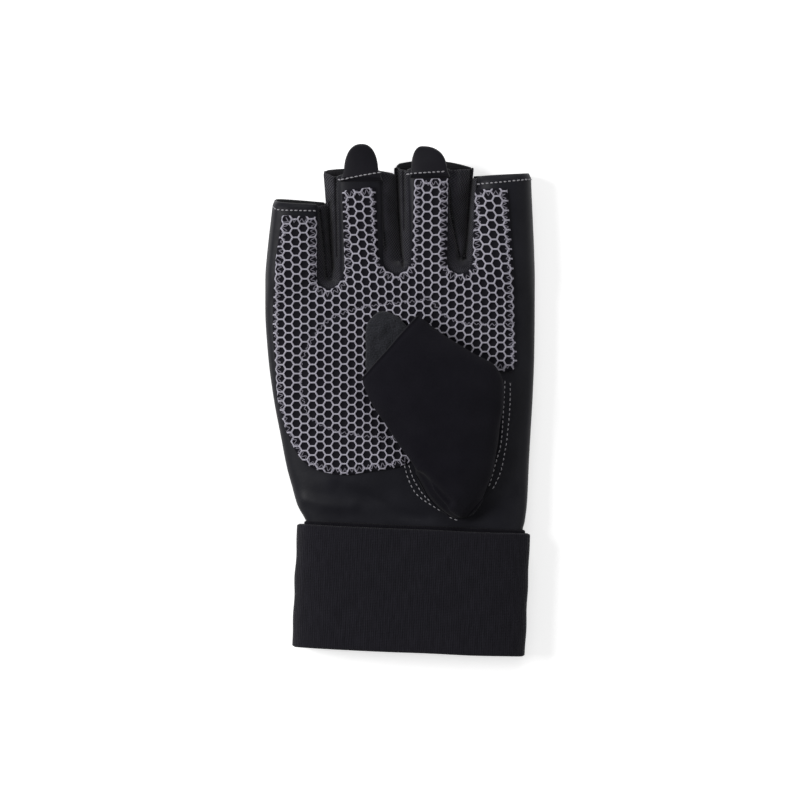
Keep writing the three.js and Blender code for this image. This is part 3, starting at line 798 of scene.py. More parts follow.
def twill(name, low, high, pitch, turn, depth=0.5, contrast=0.13, crease_shade_colour=None):
    """A fine knit with slanting rows. Its creases are darkened with painted shade, towards the colour given
    last.
    """
    p = Paint(name, 0.85, 0.15, 0.1, 0.5)
    rows = p.place(turn=turn, cloth=True)
    split = p.node("SeparateXYZ", {0: rows})
    stitch = p.waves(split.outputs[0], pitch * 1.4)
    height = p.math("ADD", p.waves(split.outputs[1], pitch), p.math("MULTIPLY", stitch, 0.5))
    soft = p.noise(p.place(), 6, 3)
    factor = p.math("ADD", p.math("MULTIPLY", height, contrast), soft)
    colour = p.paint(low, high, factor, (0.1, 0.9))
    # Painted shade: where the mesh's crease attribute is set, the knit is darkened as the shadow in its
    # pleats would darken it.
    if crease_shade_colour:
        crease = p.node("Attribute", attribute_name="crease").outputs["Fac"]
        p.paint(colour, crease_shade_colour, crease, (0, 1))
    p.bump(height, depth, 0.14)
    return p.material


def plain(name, colour, roughness, specular, size):
    """One colour with a fine grain."""
    p = Paint(name, roughness, specular)
    grain = p.noise(p.place(), size, 3)
    darker = tuple(c * 0.75 for c in colour[:3]) + (1,)
    p.paint(darker, colour, grain)
    p.bump(grain, 0.3, 0.08)
    return p.material


PALM = leather("palm_leather", srgb(15, 15, 21), srgb(24, 24, 30), 0.5, 0.13)
TAB_LEATHER = leather("tab_leather", srgb(16, 15, 21), srgb(21, 20, 26), 0.5, 0.13)
BACK = twill("back_cloth", srgb(20, 20, 22), srgb(29, 29, 32), 0.9, 0.0)
# The gusset mesh's last colour is painted shade, the dark of the shadow in its creases.
MESH = twill("gusset_mesh", srgb(14, 14, 19), srgb(51, 50, 57), 0.85, 0.6, 1.0, 0.24, srgb(4, 4, 6))
GRIP = plain("grip_cloth", srgb(22, 21, 27), 0.9, 0.1, 0.4)
PRINT = plain("grip_print", srgb(166, 163, 175), 0.6, 0.25, 0.6)
SUEDE = suede("thumb_suede", srgb(14, 13, 19), srgb(22, 21, 27), 0.03)
TERRY = fuzzy("terry", srgb(19, 20, 24), srgb(38, 39, 45), 0.7)
ELASTIC = woven("elastic_band", srgb(19, 18, 23), srgb(30, 29, 35), 0.85, 0.62, 0.08, 0.06)
LINING_CLOTH = woven("elastic_lining", srgb(11, 10, 15), srgb(19, 18, 23), 0.7, 0.5, 0.06, 0.03)
HOOK = twill("hook_tape", srgb(15, 15, 17), srgb(29, 29, 31), 0.8, 0.0, 0.9)
THREAD = plain("thread", srgb(158, 156, 161), 0.7, 0.2, 0.3)
LOCK_THREAD = plain("lock_thread", srgb(128, 125, 136), 0.7, 0.2, 0.3)


# Hand panels

top, under = Skin(1), Skin(-1)


def mouth_y(name, x, depth):
    """Where a finger's mouth ends, for a depth from 0 at its palm side to 1 at its back."""
    f = FINGERS[name]
    left, right = stall_edges(NAMES.index(name), PALM_LENGTH + f["reach"] * FINGER_LENGTH)
    end = mix(f["reach"], f["back"], depth) * FINGER_LENGTH
    aside = x - (left + right) / 2
    bow = f.get("bow", 0) * depth * (1 - np.minimum(np.abs(aside) / (right - left) * 2, 1) ** 2)
    return PALM_LENGTH + end + mix(f["slope"], f["back_slope"], depth) * aside + bow


def mouth_line(name, skin, ends, count=24):
    """A finger's mouth on the unrolled cloth between two values of u."""
    u = np.linspace(*ends, count)
    v = np.full(count, mouth_y(name, 0, 0))
    for _ in range(4):
        p = skin.flat(u, v)
        high = stall_high(v)
        v = mouth_y(name, p[:, 0], np.clip((high - p[:, 2]) / high, 0, 1))
    return np.stack([u, v], axis=1)


def slot_edge(slot, which, y):
    """x of a slot's left (0) or right (1) edge."""
    root, mouth = slot["left" if which == 0 else "right"]
    start = slot_bottom(slot) + slot_radius(slot)
    return mix(root, mouth, (y - start) / (SLOT_END - start)) * PALM_WIDTH


def slot_radius(slot):
    return (slot["right"][0] - slot["left"][0]) * PALM_WIDTH / 2


def slot_centre(slot):
    return (slot["right"][0] + slot["left"][0]) * PALM_WIDTH / 2


def slot_bottom(slot):
    """y of a slot's rounded end."""
    return PALM_LENGTH - slot["drop"] * CROTCH_DROP


def slot_curve(slot, out, tops):
    """A slot's edge from its left mouth round the rounded end to its right mouth, grown by out."""
    radius = slot_radius(slot)
    centre = np.array([slot_centre(slot), slot_bottom(slot) + radius])
    down = np.linspace(tops[0], centre[1], 40)
    up = np.linspace(centre[1], tops[1], 40)
    turn = np.linspace(math.pi, 2 * math.pi, 25)[1:-1]
    return np.vstack([
        np.stack([slot_edge(slot, 0, down) - out, down], axis=1),
        centre + (radius + out) * np.stack([np.cos(turn), np.sin(turn)], axis=1),
        np.stack([slot_edge(slot, 1, up) + out, up], axis=1),
    ])


def seam_line(skin, which, start, end):
    """A side seam on the unrolled cloth."""
    v = np.arange(start, end, math.copysign(1.5, end - start))
    return np.stack([skin.seam(v, which), v], axis=1)


def palm_outline():
    """The palm's cut: little finger's side, the mouths with a slot between each two, and the thumb's side."""
    parts = [seam_line(top, 0, SLEEVE_END, mouth_y("little", -50, 0.6))]
    start = top.seam(mouth_y("little", -50, 0.64), 0)
    for number, name in enumerate(NAMES):
        if number:
            start = float(slot_edge(SLOT_LIST[number - 1], 1, mouth_y(name, 0, 0)))
        if number < 3:
            end = float(slot_edge(SLOT_LIST[number], 0, mouth_y(name, 0, 0)))
        else:
            end = top.seam(mouth_y("index", 50, 0.64), 1)
        mouth = mouth_line(name, top, (start, end))
        parts.append(mouth)
        if number < 3:
            slot = SLOT_LIST[number]
            following = mouth_y(NAMES[number + 1], slot_edge(slot, 1, SLOT_MOUTH), 0)
            parts.append(slot_curve(slot, 0, (mouth[-1, 1] - 1, following - 1)))
    parts.append(seam_line(top, 1, parts[-1][-1, 1] - 1, SLEEVE_END))
    return np.vstack(parts)


def ellipse(hole, out=0.0, count=48):
    """The edge of the thumb's hole on the plan, grown by out."""
    turn = np.linspace(0, 2 * math.pi, count + 1)[:-1]
    p = np.stack([np.cos(turn), np.sin(turn)], axis=1) * (np.array(hole["radii"]) + out)
    c, s = math.cos(hole["turn"]), math.sin(hole["turn"])
    return p @ np.array([[c, s], [-s, c]]) + [hole["x"], hole["y"]]


palm_points, palm_faces, palm_uv = cloth(palm_outline(), [ellipse(HOLE)], 1.25, top, PALM_WALL)
palm = make("palm_skin", palm_points, palm_faces, PALM, palm_uv)


def back_outline():
    """The back's cut, in the same order as the palm's, with a slit between each two fingers."""
    parts = [seam_line(under, 0, SLEEVE_END, mouth_y("little", -50, 0.7))]
    for number, name in enumerate(NAMES):
        y = mouth_y(name, 0, 1)
        left, right = stall_edges(number, y)
        start = under.seam(y, 0) if number == 0 else left
        end = right if number < 3 else under.seam(y, 1)
        mouth = mouth_line(name, under, (float(start), float(end)))
        parts.append(mouth)
        if number < 3:
            following = mouth_y(NAMES[number + 1], float(right), 1)
            parts.append(slit(number, mouth[-1, 1] - 1, following - 1, 1.1))
    parts.append(seam_line(under, 1, parts[-1][-1, 1] - 1, SLEEVE_END))
    return np.vstack(parts)


def slit(number, start, end, out):
    """The line between two fingers' backs, from one mouth by the crotch to the next, grown by out."""
    bottom = float(crotch_at(stall_edges(number, PALM_LENGTH)[1])) + 1.5
    down, up = np.arange(start, bottom, -1.2), np.arange(bottom, end, 1.2)
    middle = float(stall_edges(number, bottom)[1] + stall_edges(number + 1, bottom)[0]) / 2
    return np.vstack([
        np.stack([stall_edges(number, down)[1] - out, down], axis=1),
        [[middle, bottom - 0.8 - out]],
        np.stack([stall_edges(number + 1, up)[0] + out, up], axis=1),
    ])


WALL_COUNT = 130  # points along a turned-up wall
FOLD_ROWS, UPRIGHT_ROWS = 6, 8
WALL_FOLD = 1.6
WALL_FOOT = 0.35
WALL_CLOTH = 0.9


def back_wall(number):
    """The back's cloth where it turns up between two fingers, to the gusset."""
    edges = [stall_edges(number, SLOT_MOUTH)[1], stall_edges(number + 1, SLOT_MOUTH)[0]]
    ends = [mouth_y(NAMES[number + k], float(edges[k]), 0.85) for k in (0, 1)]
    path = resample(slit(number, *ends, -0.6), WALL_COUNT)
    along = unit(np.gradient(path, axis=0))
    inward = np.stack([along[:, 1], -along[:, 0]], axis=1)
    turn = np.concatenate([np.linspace(0, math.pi / 2, FOLD_ROWS), np.full(UPRIGHT_ROWS, math.pi / 2)])
    high = SEAM_SHARE * stall_high(path[:, 1]) + 0.3
    share = np.concatenate([np.zeros(FOLD_ROWS), np.linspace(0, 1, UPRIGHT_ROWS + 1)[1:]])
    z = WALL_FOLD * (1 - np.cos(turn))
    z = z[None] + WALL_FOOT + share[None] * (high[:, None] - WALL_FOLD - WALL_FOOT)
    lean = (WALL_FOLD * (1 - np.sin(turn)))[None, :, None] * inward[:, None, :]
    outer = np.concatenate([path[:, None, :] + lean, z[..., None]], axis=-1)
    pull = np.concatenate([
        inward[:, None, :] * np.sin(turn)[None, :, None],
        np.cos(turn)[None, :, None] * np.ones((WALL_COUNT, 1, 1)),
    ], axis=-1)
    reach = np.arange(WALL_COUNT)[:, None] * 0.6 + 0 * z
    return sheet(outer, outer + pull * WALL_CLOTH, np.stack([reach, z], axis=-1), 0.2)


back_points, back_faces, back_uv = joined([
    cloth(back_outline(), [], 1.6, under, BACK_WALL, curl=0.1), *[back_wall(k) for k in range(3)]
])
back = make("back_skin", back_points, back_faces, BACK, back_uv)


# Gussets

# Pleats of the gussets in the photograph's pixels, with their depth and width in millimetres.
PLEATS = {
    "little_ring": [
        ([(319.7, 212), (323.3, 244), (326.7, 278)], 1.2, 0.6),
        ([(329.9, 203), (330.3, 221), (331.2, 244), (333, 269)], 1.2, 0.6),
        ([(336.2, 171), (336.2, 197), (336.9, 221), (337.5, 257)], 1.0, 0.5),
        ([(325, 212), (327, 244), (329, 270)], -0.5, 0.9),
    ],
    "ring_middle": [
        ([(397, 164), (398, 203), (400.5, 240), (403, 266)], 1.3, 0.6),
        ([(403.5, 164), (404, 190), (404.6, 230)], 1.0, 0.5),
        ([(379.5, 172), (381.5, 215), (386, 250)], 0.8, 0.7),
        ([(389, 172), (391, 215), (394, 255)], -0.5, 1.6),
    ],
    "middle_index": [
        ([(448.4, 190), (450.3, 211), (454.8, 235), (459.8, 259)], 1.2, 0.6),
        ([(470.5, 172), (468.7, 203), (466.8, 241), (463, 260)], 1.1, 0.6),
        ([(457, 170), (460, 215), (462, 250)], -0.6, 1.6),
    ],
}


GUSSET_COLUMNS, GUSSET_ROWS, FOOT_ROWS = 170, 42, 8
GUSSET_FOOT = 0.35  # the last rows go down from the valley to the back
GUSSET_CLOTH = 0.8
VALLEY_OVERLAP = 0.15
VALLEY_HEIGHT = 8.2
WEB_DROP = 3.2  # how deep the cloth sags at the slot's round end
FOLD_PITCH = 3.4


def gusset(key, slot):
    """The mesh between two fingers: from the slot's edge down to a valley, and from it to the back."""
    number = list(SLOTS).index(key)
    tops = [mouth_y(NAMES[number + k], slot_edge(slot, k, SLOT_MOUTH), 0) for k in (0, 1)]
    edge = resample(slot_curve(slot, 0.9, [t - 0.3 for t in tops]), GUSSET_COLUMNS)
    web = slot_bottom(slot) + slot["web"]
    side = np.where(np.arange(GUSSET_COLUMNS) < GUSSET_COLUMNS / 2, -1, 1)
    # Each line runs from the slot's edge to the valley, and fans out round the valley's lower end.
    spread = np.clip((web + 1.5 - edge[:, 1]) / (web + 1.5 - edge[:, 1].min()), 0, 1)
    angle = np.where(side < 0, math.pi, 2 * math.pi) + side * spread * math.pi / 2
    goal_y = np.maximum(edge[:, 1], web)
    valley_x = mix(*STALL_LINES[number + 1], np.maximum(goal_y - PALM_LENGTH, 0) / FINGER_LENGTH) * PALM_WIDTH
    goal = np.stack([
        valley_x - VALLEY_OVERLAP * np.cos(angle),
        goal_y - VALLEY_OVERLAP * np.minimum(np.sin(angle), 0),
    ], axis=1)
    foot = np.linspace(0, 1, FOOT_ROWS + 1)[1:] * GUSSET_FOOT
    t = np.concatenate([np.linspace(0, 1, GUSSET_ROWS), 1 + foot])
    tt, share = t[None, :], np.minimum(t, 1)[None, :]
    plan = mix(edge[:, None, :], goal[:, None, :], share[..., None])
    u, v = plan[..., 0], plan[..., 1]
    lip = top.at(edge[:, 0], edge[:, 1], -0.9)[:, 2]
    low = mix(lip - WEB_DROP, VALLEY_HEIGHT, smoothstep(edge[:, 1], web - 2, web + 14))
    floor = SEAM_SHARE * stall_high(edge[:, 1]) + 0.15
    z = lip[:, None] + (low - lip)[:, None] * share**1.7
    z = np.where(tt > 1, mix(low[:, None], floor[:, None], (tt - 1) / GUSSET_FOOT), z)
    wide = np.linalg.norm(edge - goal, axis=1)[:, None]
    fade = np.sin(math.pi * share) * smoothstep(wide, 1, 4)
    phase = share * wide / FOLD_PITCH + 0.13 * waves(u, v * 0.25, 5 + number, 9)
    uneven = 0.5 + 0.5 * np.abs(waves(u * 0.3, v * 0.35, 9 + number, 8))
    z = z + 0.15 * fade * np.cos(2 * math.pi * phase) * uneven
    # Painted shade along each pleat's crease, darker for deeper pleats; the material reads it from the crease
    # attribute.
    painted_crease_shade = np.zeros_like(z)
    for pleat, depth, width in PLEATS[key]:
        near = to_path(u, v, spline(from_pixels(pleat), 20))
        z = z - depth * bell(near, width) * smoothstep(tt, 0, 0.12) * (tt < 1)
        painted_crease_shade = np.maximum(painted_crease_shade, 0.5 * np.clip(depth, 0, 1.3) * bell(near, 1.5 * width))
    painted_crease_shade = painted_crease_shade.ravel()
    # The walls' free ends follow the fingers' mouths down to the back.
    depth = np.clip((lip[:, None] - z) / 10, 0, 1)
    mouth = np.where(side < 0, *tops)
    near_mouth = smoothstep(edge[:, 1], mouth - 8, mouth)
    rise = [mouth_y(NAMES[number + k], u, depth) - mouth_y(NAMES[number + k], u, 0) for k in (0, 1)]
    v = v + near_mouth[:, None] * np.where(side[:, None] < 0, *rise)
    outer = np.stack([u, v, z], axis=-1)
    faces = triangles(grid_faces(*z.shape))
    normal = grid_normals(outer)
    if normal[GUSSET_COLUMNS // 4, 3, 2] < 0:
        normal, faces = -normal, faces[:, ::-1]
    inner = outer - normal * GUSSET_CLOTH
    uv = unroll(outer).reshape(-1, 2)
    points, shell, ids = thicken(outer.reshape(-1, 3), inner.reshape(-1, 3), faces, 0.2)
    piece = make("web_" + key, points, shell, MESH, np.vstack([uv, uv, uv[ids]]))
    # The crease attribute holds the painted shade of the pleats.
    attribute = piece.data.attributes.new("crease", "FLOAT", "POINT")
    attribute.data.foreach_set("value", np.concatenate([painted_crease_shade, painted_crease_shade, painted_crease_shade[ids]]).astype(np.float32))
    return piece


def grid_normals(p):
    return unit(np.cross(np.gradient(p, axis=0), np.gradient(p, axis=1)))


def unroll(p, start=0):
    """Places on the flat cloth of a grid of points: the way down one column, and from it along each row."""
    rows = np.array([way(row) for row in p])
    return np.stack([rows - rows[:, start:start + 1], way(p[:, start])[:, None] + 0 * rows], axis=-1)


gussets = {key: gusset(key, slot) for key, slot in SLOTS.items()}


# Grip patch

MARGINS = list(PATCH_MARGINS.values())


def strip_end(number, name):
    """The strip's two corners at a finger's tip, right one first."""
    hem = FINGERS[name]["hem"]
    share = FINGERS[name]["reach"] - hem / FINGER_LENGTH
    left, right = PATCH_TIPS[0] * HALF, PATCH_TIPS[1] * HALF
    if number:
        left = mix(*SLOT_LIST[number - 1]["right"], share) * PALM_WIDTH + MARGINS[number - 1][1][1]
    if number < 3:
        right = mix(*SLOT_LIST[number]["left"], share) * PALM_WIDTH - MARGINS[number][0][1]
    return [(x, mouth_y(name, x, 0) - hem) for x in (right, left)]


def patch_outline():
    """The patch on the unrolled hand: its sides, and a strip up each finger with the slots left out."""
    parts = [spline([(x * HALF, along * PALM_LENGTH) for x, along in PATCH_OUTLINE], 120)]
    for number in (3, 2, 1, 0):
        ends = strip_end(number, NAMES[number])
        parts.append(np.array(ends))
        if number == 0:
            break
        slot, following = SLOT_LIST[number - 1], NAMES[number - 1]
        bottom, centre = slot_bottom(slot), slot_centre(slot)
        x = float(slot_edge(slot, 0, 130)) - 1
        tops = (mouth_y(following, x, 0) - FINGERS[following]["hem"] - 0.5, ends[1][1] - 0.5)
        curve = slot_curve(slot, 1.0, tops)
        for side, margin, end in zip((-1, 1), MARGINS[number - 1], tops):
            there = (curve[:, 0] - centre) * side > 0
            up = smoothstep(curve[:, 1], bottom, bottom + 9)
            wide = mix(*margin, (curve[:, 1] - bottom) / (end - bottom))
            curve[:, 0] += np.where(there, (wide - 1) * up * side, 0)
        parts.append(curve[::-1])
    plan = np.vstack(parts)
    plan[:, 0] = to_u(plan[:, 0], plan[:, 1])
    return spaced_ring(plan, 0.8)


def to_u(x, v):
    """u on the unrolled palm of points over the plan."""
    u = np.array(x, float)
    for _ in range(30):
        u += x - top.flat(u, v)[:, 0]
    return u


HEX_ACROSS = 3.15
HEX_ALONG = 3.68
HEX_PHASE = (-16.68, 99.32)  # centre of one cell on the ring finger's strip
HEX_COLUMNS, HEX_ROWS = (-16, 26), (-26, 14)
HEX_SPOKES = 18
PRINT_HEIGHT = 0.4
LINE_HALF = 0.33
WELD = 2e-3
PATCH_CLOTH = 0.7
PRINT_ROOT = 92  # above this line the print leans and stretches with the fingers
# How the print lies at places across the hand: its lean, its shift across and along, its stretch.
PRINT_AT = [-41, -17, 11, 37]
lean = monotone([-54, -33, -17, -6, 4, 18, 34, 54], [1.7, 2, 5.3, 4, 0, 0, 6.8, 6.8])
print_across = monotone([-41, -24, -12, 0, 12, 24, 37], [1.0, 0.85, 0.4, -0.25, -0.8, -0.35, -0.1])
print_along = monotone(PRINT_AT, [-0.8, -0.6, -1.1, 0.75])
print_stretch = monotone(PRINT_AT, [-0.017, 0.018, 0.028, 0.045])


def warp(a, b):
    """The print's own grid, laid on the hand: it leans and stretches along the fingers."""
    past = np.maximum(b - PRINT_ROOT, 0)
    x = a - np.tan(np.radians(lean(a))) * past + print_across(a)
    y = b + print_along(a) + print_stretch(a) * past - 0.02 * np.minimum(b - PRINT_ROOT, 0)
    return np.stack([x, y], axis=-1)


def hexagons():
    """Every cell of the print, each as rings round its middle: points, heights, faces, is it print."""
    side = HEX_ACROSS / 1.5
    apothem = HEX_ALONG / 2
    turn = np.radians(np.arange(0, 360, 360 // HEX_SPOKES))
    corner = np.radians((np.degrees(turn) % 60) - 30)
    hexagon = apothem / np.cos(corner)
    squash = side * math.cos(math.pi / 6) / apothem
    circle = apothem * 1.04 - LINE_HALF
    profile = [
        (hexagon, PRINT_HEIGHT),
        (hexagon - 0.16, PRINT_HEIGHT * 0.94),
        (mix(hexagon - LINE_HALF, circle, 0.2), PRINT_HEIGHT * 0.5),
        (mix(hexagon - LINE_HALF - 0.08, circle - 0.08, 0.25), 0.0),
    ]
    spokes = np.stack([np.cos(turn) * squash, np.sin(turn)], axis=1)
    rings = np.vstack([spokes * radius[:, None] for radius, _ in profile] + [np.zeros((1, 2))])
    lift = np.concatenate([np.full(HEX_SPOKES, h) for _, h in profile] + [[0.0]])
    k = np.arange(HEX_SPOKES)
    after = (k + 1) % HEX_SPOKES
    faces = []
    for ring in range(3):
        o, i = ring * HEX_SPOKES, (ring + 1) * HEX_SPOKES
        faces += [
            np.stack([o + k, o + after, i + after], axis=1),
            np.stack([o + k, i + after, i + k], axis=1),
        ]
    last = 3 * HEX_SPOKES
    faces.append(np.stack([last + k, last + after, np.full(HEX_SPOKES, last + HEX_SPOKES)], axis=1))
    faces = np.vstack(faces)
    printed = np.arange(len(faces)) < 4 * HEX_SPOKES
    column, row = np.meshgrid(np.arange(*HEX_COLUMNS), np.arange(*HEX_ROWS), indexing="ij")
    column, row = column.ravel(), row.ravel()
    centres = np.stack([
        HEX_PHASE[0] + column * HEX_ACROSS,
        HEX_PHASE[1] + (row + 0.5 * (column % 2)) * HEX_ALONG,
    ], axis=1)
    cells = len(centres)
    starts = np.arange(cells) * len(rings)
    points = (rings + centres[:, None]).reshape(-1, 2)
    faces = (faces + starts[:, None, None]).reshape(-1, 3)
    return points, np.tile(lift, cells), faces, np.tile(printed, cells)


def weld(points, heights, faces, flags):
    """Joins points that coincide. Faces that lose a corner go."""
    key = np.round(points / WELD).astype(np.int64)
    _, first, where = np.unique(key, axis=0, return_index=True, return_inverse=True)
    faces = where.reshape(-1)[faces]
    good = (faces != np.roll(faces, -1, axis=1)).all(1)
    return points[first], heights[first], faces[good], flags[good]


def clip(points, heights, faces, flags, inside):
    """Cuts triangles where inside falls below 0."""
    kept = (inside[faces] > 0).sum(1)
    whole, part = kept == 3, (kept > 0) & (kept < 3)
    new_points, new_heights, new_faces, new_flags = [], [], [], []
    made = {}

    def cut(a, b):
        key = (min(a, b), max(a, b))
        if key not in made:
            a, b = key
            t = inside[a] / (inside[a] - inside[b])
            new_points.append(mix(points[a], points[b], t))
            new_heights.append(mix(heights[a], heights[b], t))
            made[key] = len(points) + len(made)
        return made[key]

    for face, flag in zip(faces[part], flags[part]):
        ring = []
        for k in range(3):
            a, b = int(face[k]), int(face[(k + 1) % 3])
            if inside[a] > 0:
                ring.append(a)
            if (inside[a] > 0) != (inside[b] > 0):
                ring.append(cut(a, b))
        for k in range(1, len(ring) - 1):
            new_faces.append((ring[0], ring[k], ring[k + 1]))
            new_flags.append(flag)
    points = np.vstack([points, new_points])
    heights = np.concatenate([heights, new_heights])
    faces = np.vstack([faces[whole], new_faces])
    flags = np.concatenate([flags[whole], new_flags])
    faces, points, heights = drop_unused(faces, points, heights)
    return points, heights, faces, flags


PATCH_OUTLINE_UV = patch_outline()


def grip_patch():
    """The patch's cloth and its print as one sheet, with the cells as relief, cut off at its outline."""
    points, heights, faces, printed = hexagons()
    points = warp(points[:, 0], points[:, 1])
    low, high = PATCH_OUTLINE_UV.min(0) - 4, PATCH_OUTLINE_UV.max(0) + 4
    near = ((points > low) & (points < high)).all(1)
    keep = near[faces].all(1)
    faces, points, heights = drop_unused(faces[keep], points, heights)
    points, heights, faces, printed = weld(points, heights, faces, printed[keep])
    inside = to_polygon(points, PATCH_OUTLINE_UV)
    points, heights, faces, printed = clip(points, heights, faces, printed, inside)
    inside = np.maximum(to_polygon(points, PATCH_OUTLINE_UV), 0)
    u, v = points[:, 0], points[:, 1]
    lift = GAP + PATCH_CLOTH - 0.25 * bell(inside, 0.7) + heights * smoothstep(inside, -0.2, 0.5)
    shell_points, shell, ids = thicken(top.at(u, v, lift), top.at(u, v, GAP), faces, 0.12)
    flags = np.concatenate([printed, np.zeros(len(shell) - len(faces), bool)])
    uv = np.vstack([points, points, points[ids]])
    return make("grip_skin", shell_points, shell, GRIP, uv, [PRINT], flags)


patch = grip_patch()


def inset(outline, distance):
    """A closed outline moved inwards, smoothed over its corners."""
    p = spaced_ring(outline, 0.5)
    along = unit(np.roll(p, -2, axis=0) - np.roll(p, 2, axis=0))
    inward = np.stack([-along[:, 1], along[:, 0]], axis=1)
    if to_polygon(p[:1] + inward[:1] * 0.5, p)[0] < 0:
        inward = -inward
    p = p + inward * distance
    return p[to_polygon(p, outline) > distance * 0.8]


def zigzag(path, half_pitch, reach, seed):
    """A sewing machine's zigzag along a path."""
    rng = np.random.default_rng(seed)
    p = spaced(path, half_pitch)
    along = unit(np.gradient(p, axis=0))
    across = np.stack([-along[:, 1], along[:, 0]], axis=1)
    side = np.where(np.arange(len(p)) % 2, 1, -1) * reach * rng.uniform(0.75, 1.15, len(p))
    return p + across * side[:, None] + rng.normal(0, 0.08, p.shape)


TUBE_FLATNESS = 0.8
THREAD_STEP = 0.55


def tube(spine, normal, radius, sides):
    """A closed tube round a line of points, a little flatter along the normal, as (points, faces)."""
    aside = np.cross(unit(np.gradient(spine, axis=0)), normal)
    turn = np.linspace(0, 2 * math.pi, sides + 1)[:-1]
    c, s = np.cos(turn)[None, :, None], np.sin(turn)[None, :, None]
    thick = np.broadcast_to(radius, len(spine))[:, None, None]
    points = spine[:, None] + thick * (aside[:, None] * c + TUBE_FLATNESS * normal[:, None] * s)
    faces = grid_faces(len(spine), sides, wrap=True).tolist()
    last = sides * (len(spine) - 1)
    return points.reshape(-1, 3), [*faces, list(range(sides - 1, -1, -1)), list(range(last, last + sides))]


def tubes(name, shells, material):
    """One piece of several tubes."""
    points, faces, _ = joined([(p, f, p) for p, f in shells])
    return make(name, points, faces, material)


def thread(name, paths, radius, material, out):
    """Sewing thread as a thin tube along each path of the unrolled palm."""
    shells = []
    for path in paths:
        u, v = spaced(path, THREAD_STEP).T
        shells.append(tube(top.at(u, v, out), top.normal(u, v), radius, 6))
    return tubes(name, shells, material)


LOCK_OUT = GAP + PATCH_CLOTH + 0.75 * PRINT_HEIGHT
edge_line = inset(PATCH_OUTLINE_UV, 1.75)
breaks = np.nonzero(np.linalg.norm(np.diff(edge_line, axis=0), axis=1) > 2)[0] + 1
edge_rows = [
    zigzag(row, 0.95, 1.05, 81 + k) for k, row in enumerate(np.split(edge_line, breaks)) if len(row) > 8
]
pad_rows = [zigzag(path, 0.9, 0.55, 91 + k) for k, path in enumerate(PAD_LINES)]
lock_piece = thread("lock_stitches", edge_rows + pad_rows, 0.15, LOCK_THREAD, LOCK_OUT)


# Thumb stall

THUMB = np.array(THUMB_ROWS)
thumb_at = [monotone(range(len(THUMB)), THUMB[:, k] * s) for k, s in enumerate(
    (PALM_WIDTH, PALM_LENGTH, THUMB_WIDTH / 2, THUMB_HEIGHT, 1)
)]
THUMB_SEAM = -0.35  # height of the seam between suede and terry, -1 to 1 up the section
SEWN_RIGHT = (3.1, 4.0)  # stations over which the suede comes down to the palm, where it is sewn on
SEWN_LEFT = (2.9, 3.5)
# How far the suede spreads at its left seam, in millimetres, by station.
FLARE_AT = [3, 3.25, 3.5, 4, 4.5, 5, 5.5, 6, 7, 8]
flare_left = monotone(FLARE_AT, [0.3, 1.5, 2.8, 3.4, 3.5, 2.9, 2.2, 1.0, 0.3, 0.2])
FLARE_RIGHT = 0.3


def bed(x, y):
    """Height on which the folded thumb lies."""
    return top.flat(x, y)[..., 2] + THUMB_STAND


def superellipse(angle):
    c, s = np.cos(angle), np.sin(angle)
    return np.sign(c) * np.abs(c) ** (2 / THUMB_ROUND), np.sign(s) * np.abs(s) ** (2 / THUMB_ROUND)


FOOT = 7  # the last station, behind which the stall is rounded off
THUMB_ROUND = 2.2


def thumb_stations(rows, round_rows):
    """Stations from the mouth to the foot and on over its rounded end."""
    return np.concatenate([np.linspace(0, FOOT, rows), FOOT + np.linspace(0, 1, round_rows + 1)[1:]])


def thumb_wall(t):
    """Thickness of the thumb's cloth, less where the stall is low."""
    return np.minimum(THUMB_WALL, 0.3 * thumb_at[3](np.clip(t, 0, FOOT)))[..., None]


def thumb_points(t, angle):
    """Points of the thumb's surface at a station from 0, the mouth, and an angle round it."""
    x, y, half, height, turn = (curve(np.clip(t, 0, FOOT)) for curve in thumb_at)
    past = np.clip(t - FOOT, 0, 1)
    round_off = np.sqrt(np.maximum(1 - past**2, 0))
    half, height = half * round_off, height * mix(1, round_off, 0.7)
    turn = np.radians(turn)
    forward = np.stack([-np.sin(turn), np.cos(turn)], axis=-1)
    side = np.stack([np.cos(turn), np.sin(turn)], axis=-1)
    across, up = superellipse(angle)
    plan = np.stack([x, y], axis=-1) - forward * (past * 1.2)[..., None]
    plan = plan + side * (half * across)[..., None]
    z = bed(plan[..., 0], plan[..., 1]) + height * (1 + up) / 2
    return np.concatenate([plan, z[..., None]], axis=-1)


def seam_angle(height=THUMB_SEAM):
    return np.arcsin(np.copysign(np.abs(height) ** (THUMB_ROUND / 2), height))


def closed_grid(name, outer, inner, material, uv, bulge):
    points, faces, uv = sheet(outer, inner, uv, bulge)
    return make(name, points, faces, material, uv)


CREASE = from_pixels([(421.5, 474.5), (431, 484), (440, 493.5), (448.5, 501.5)])


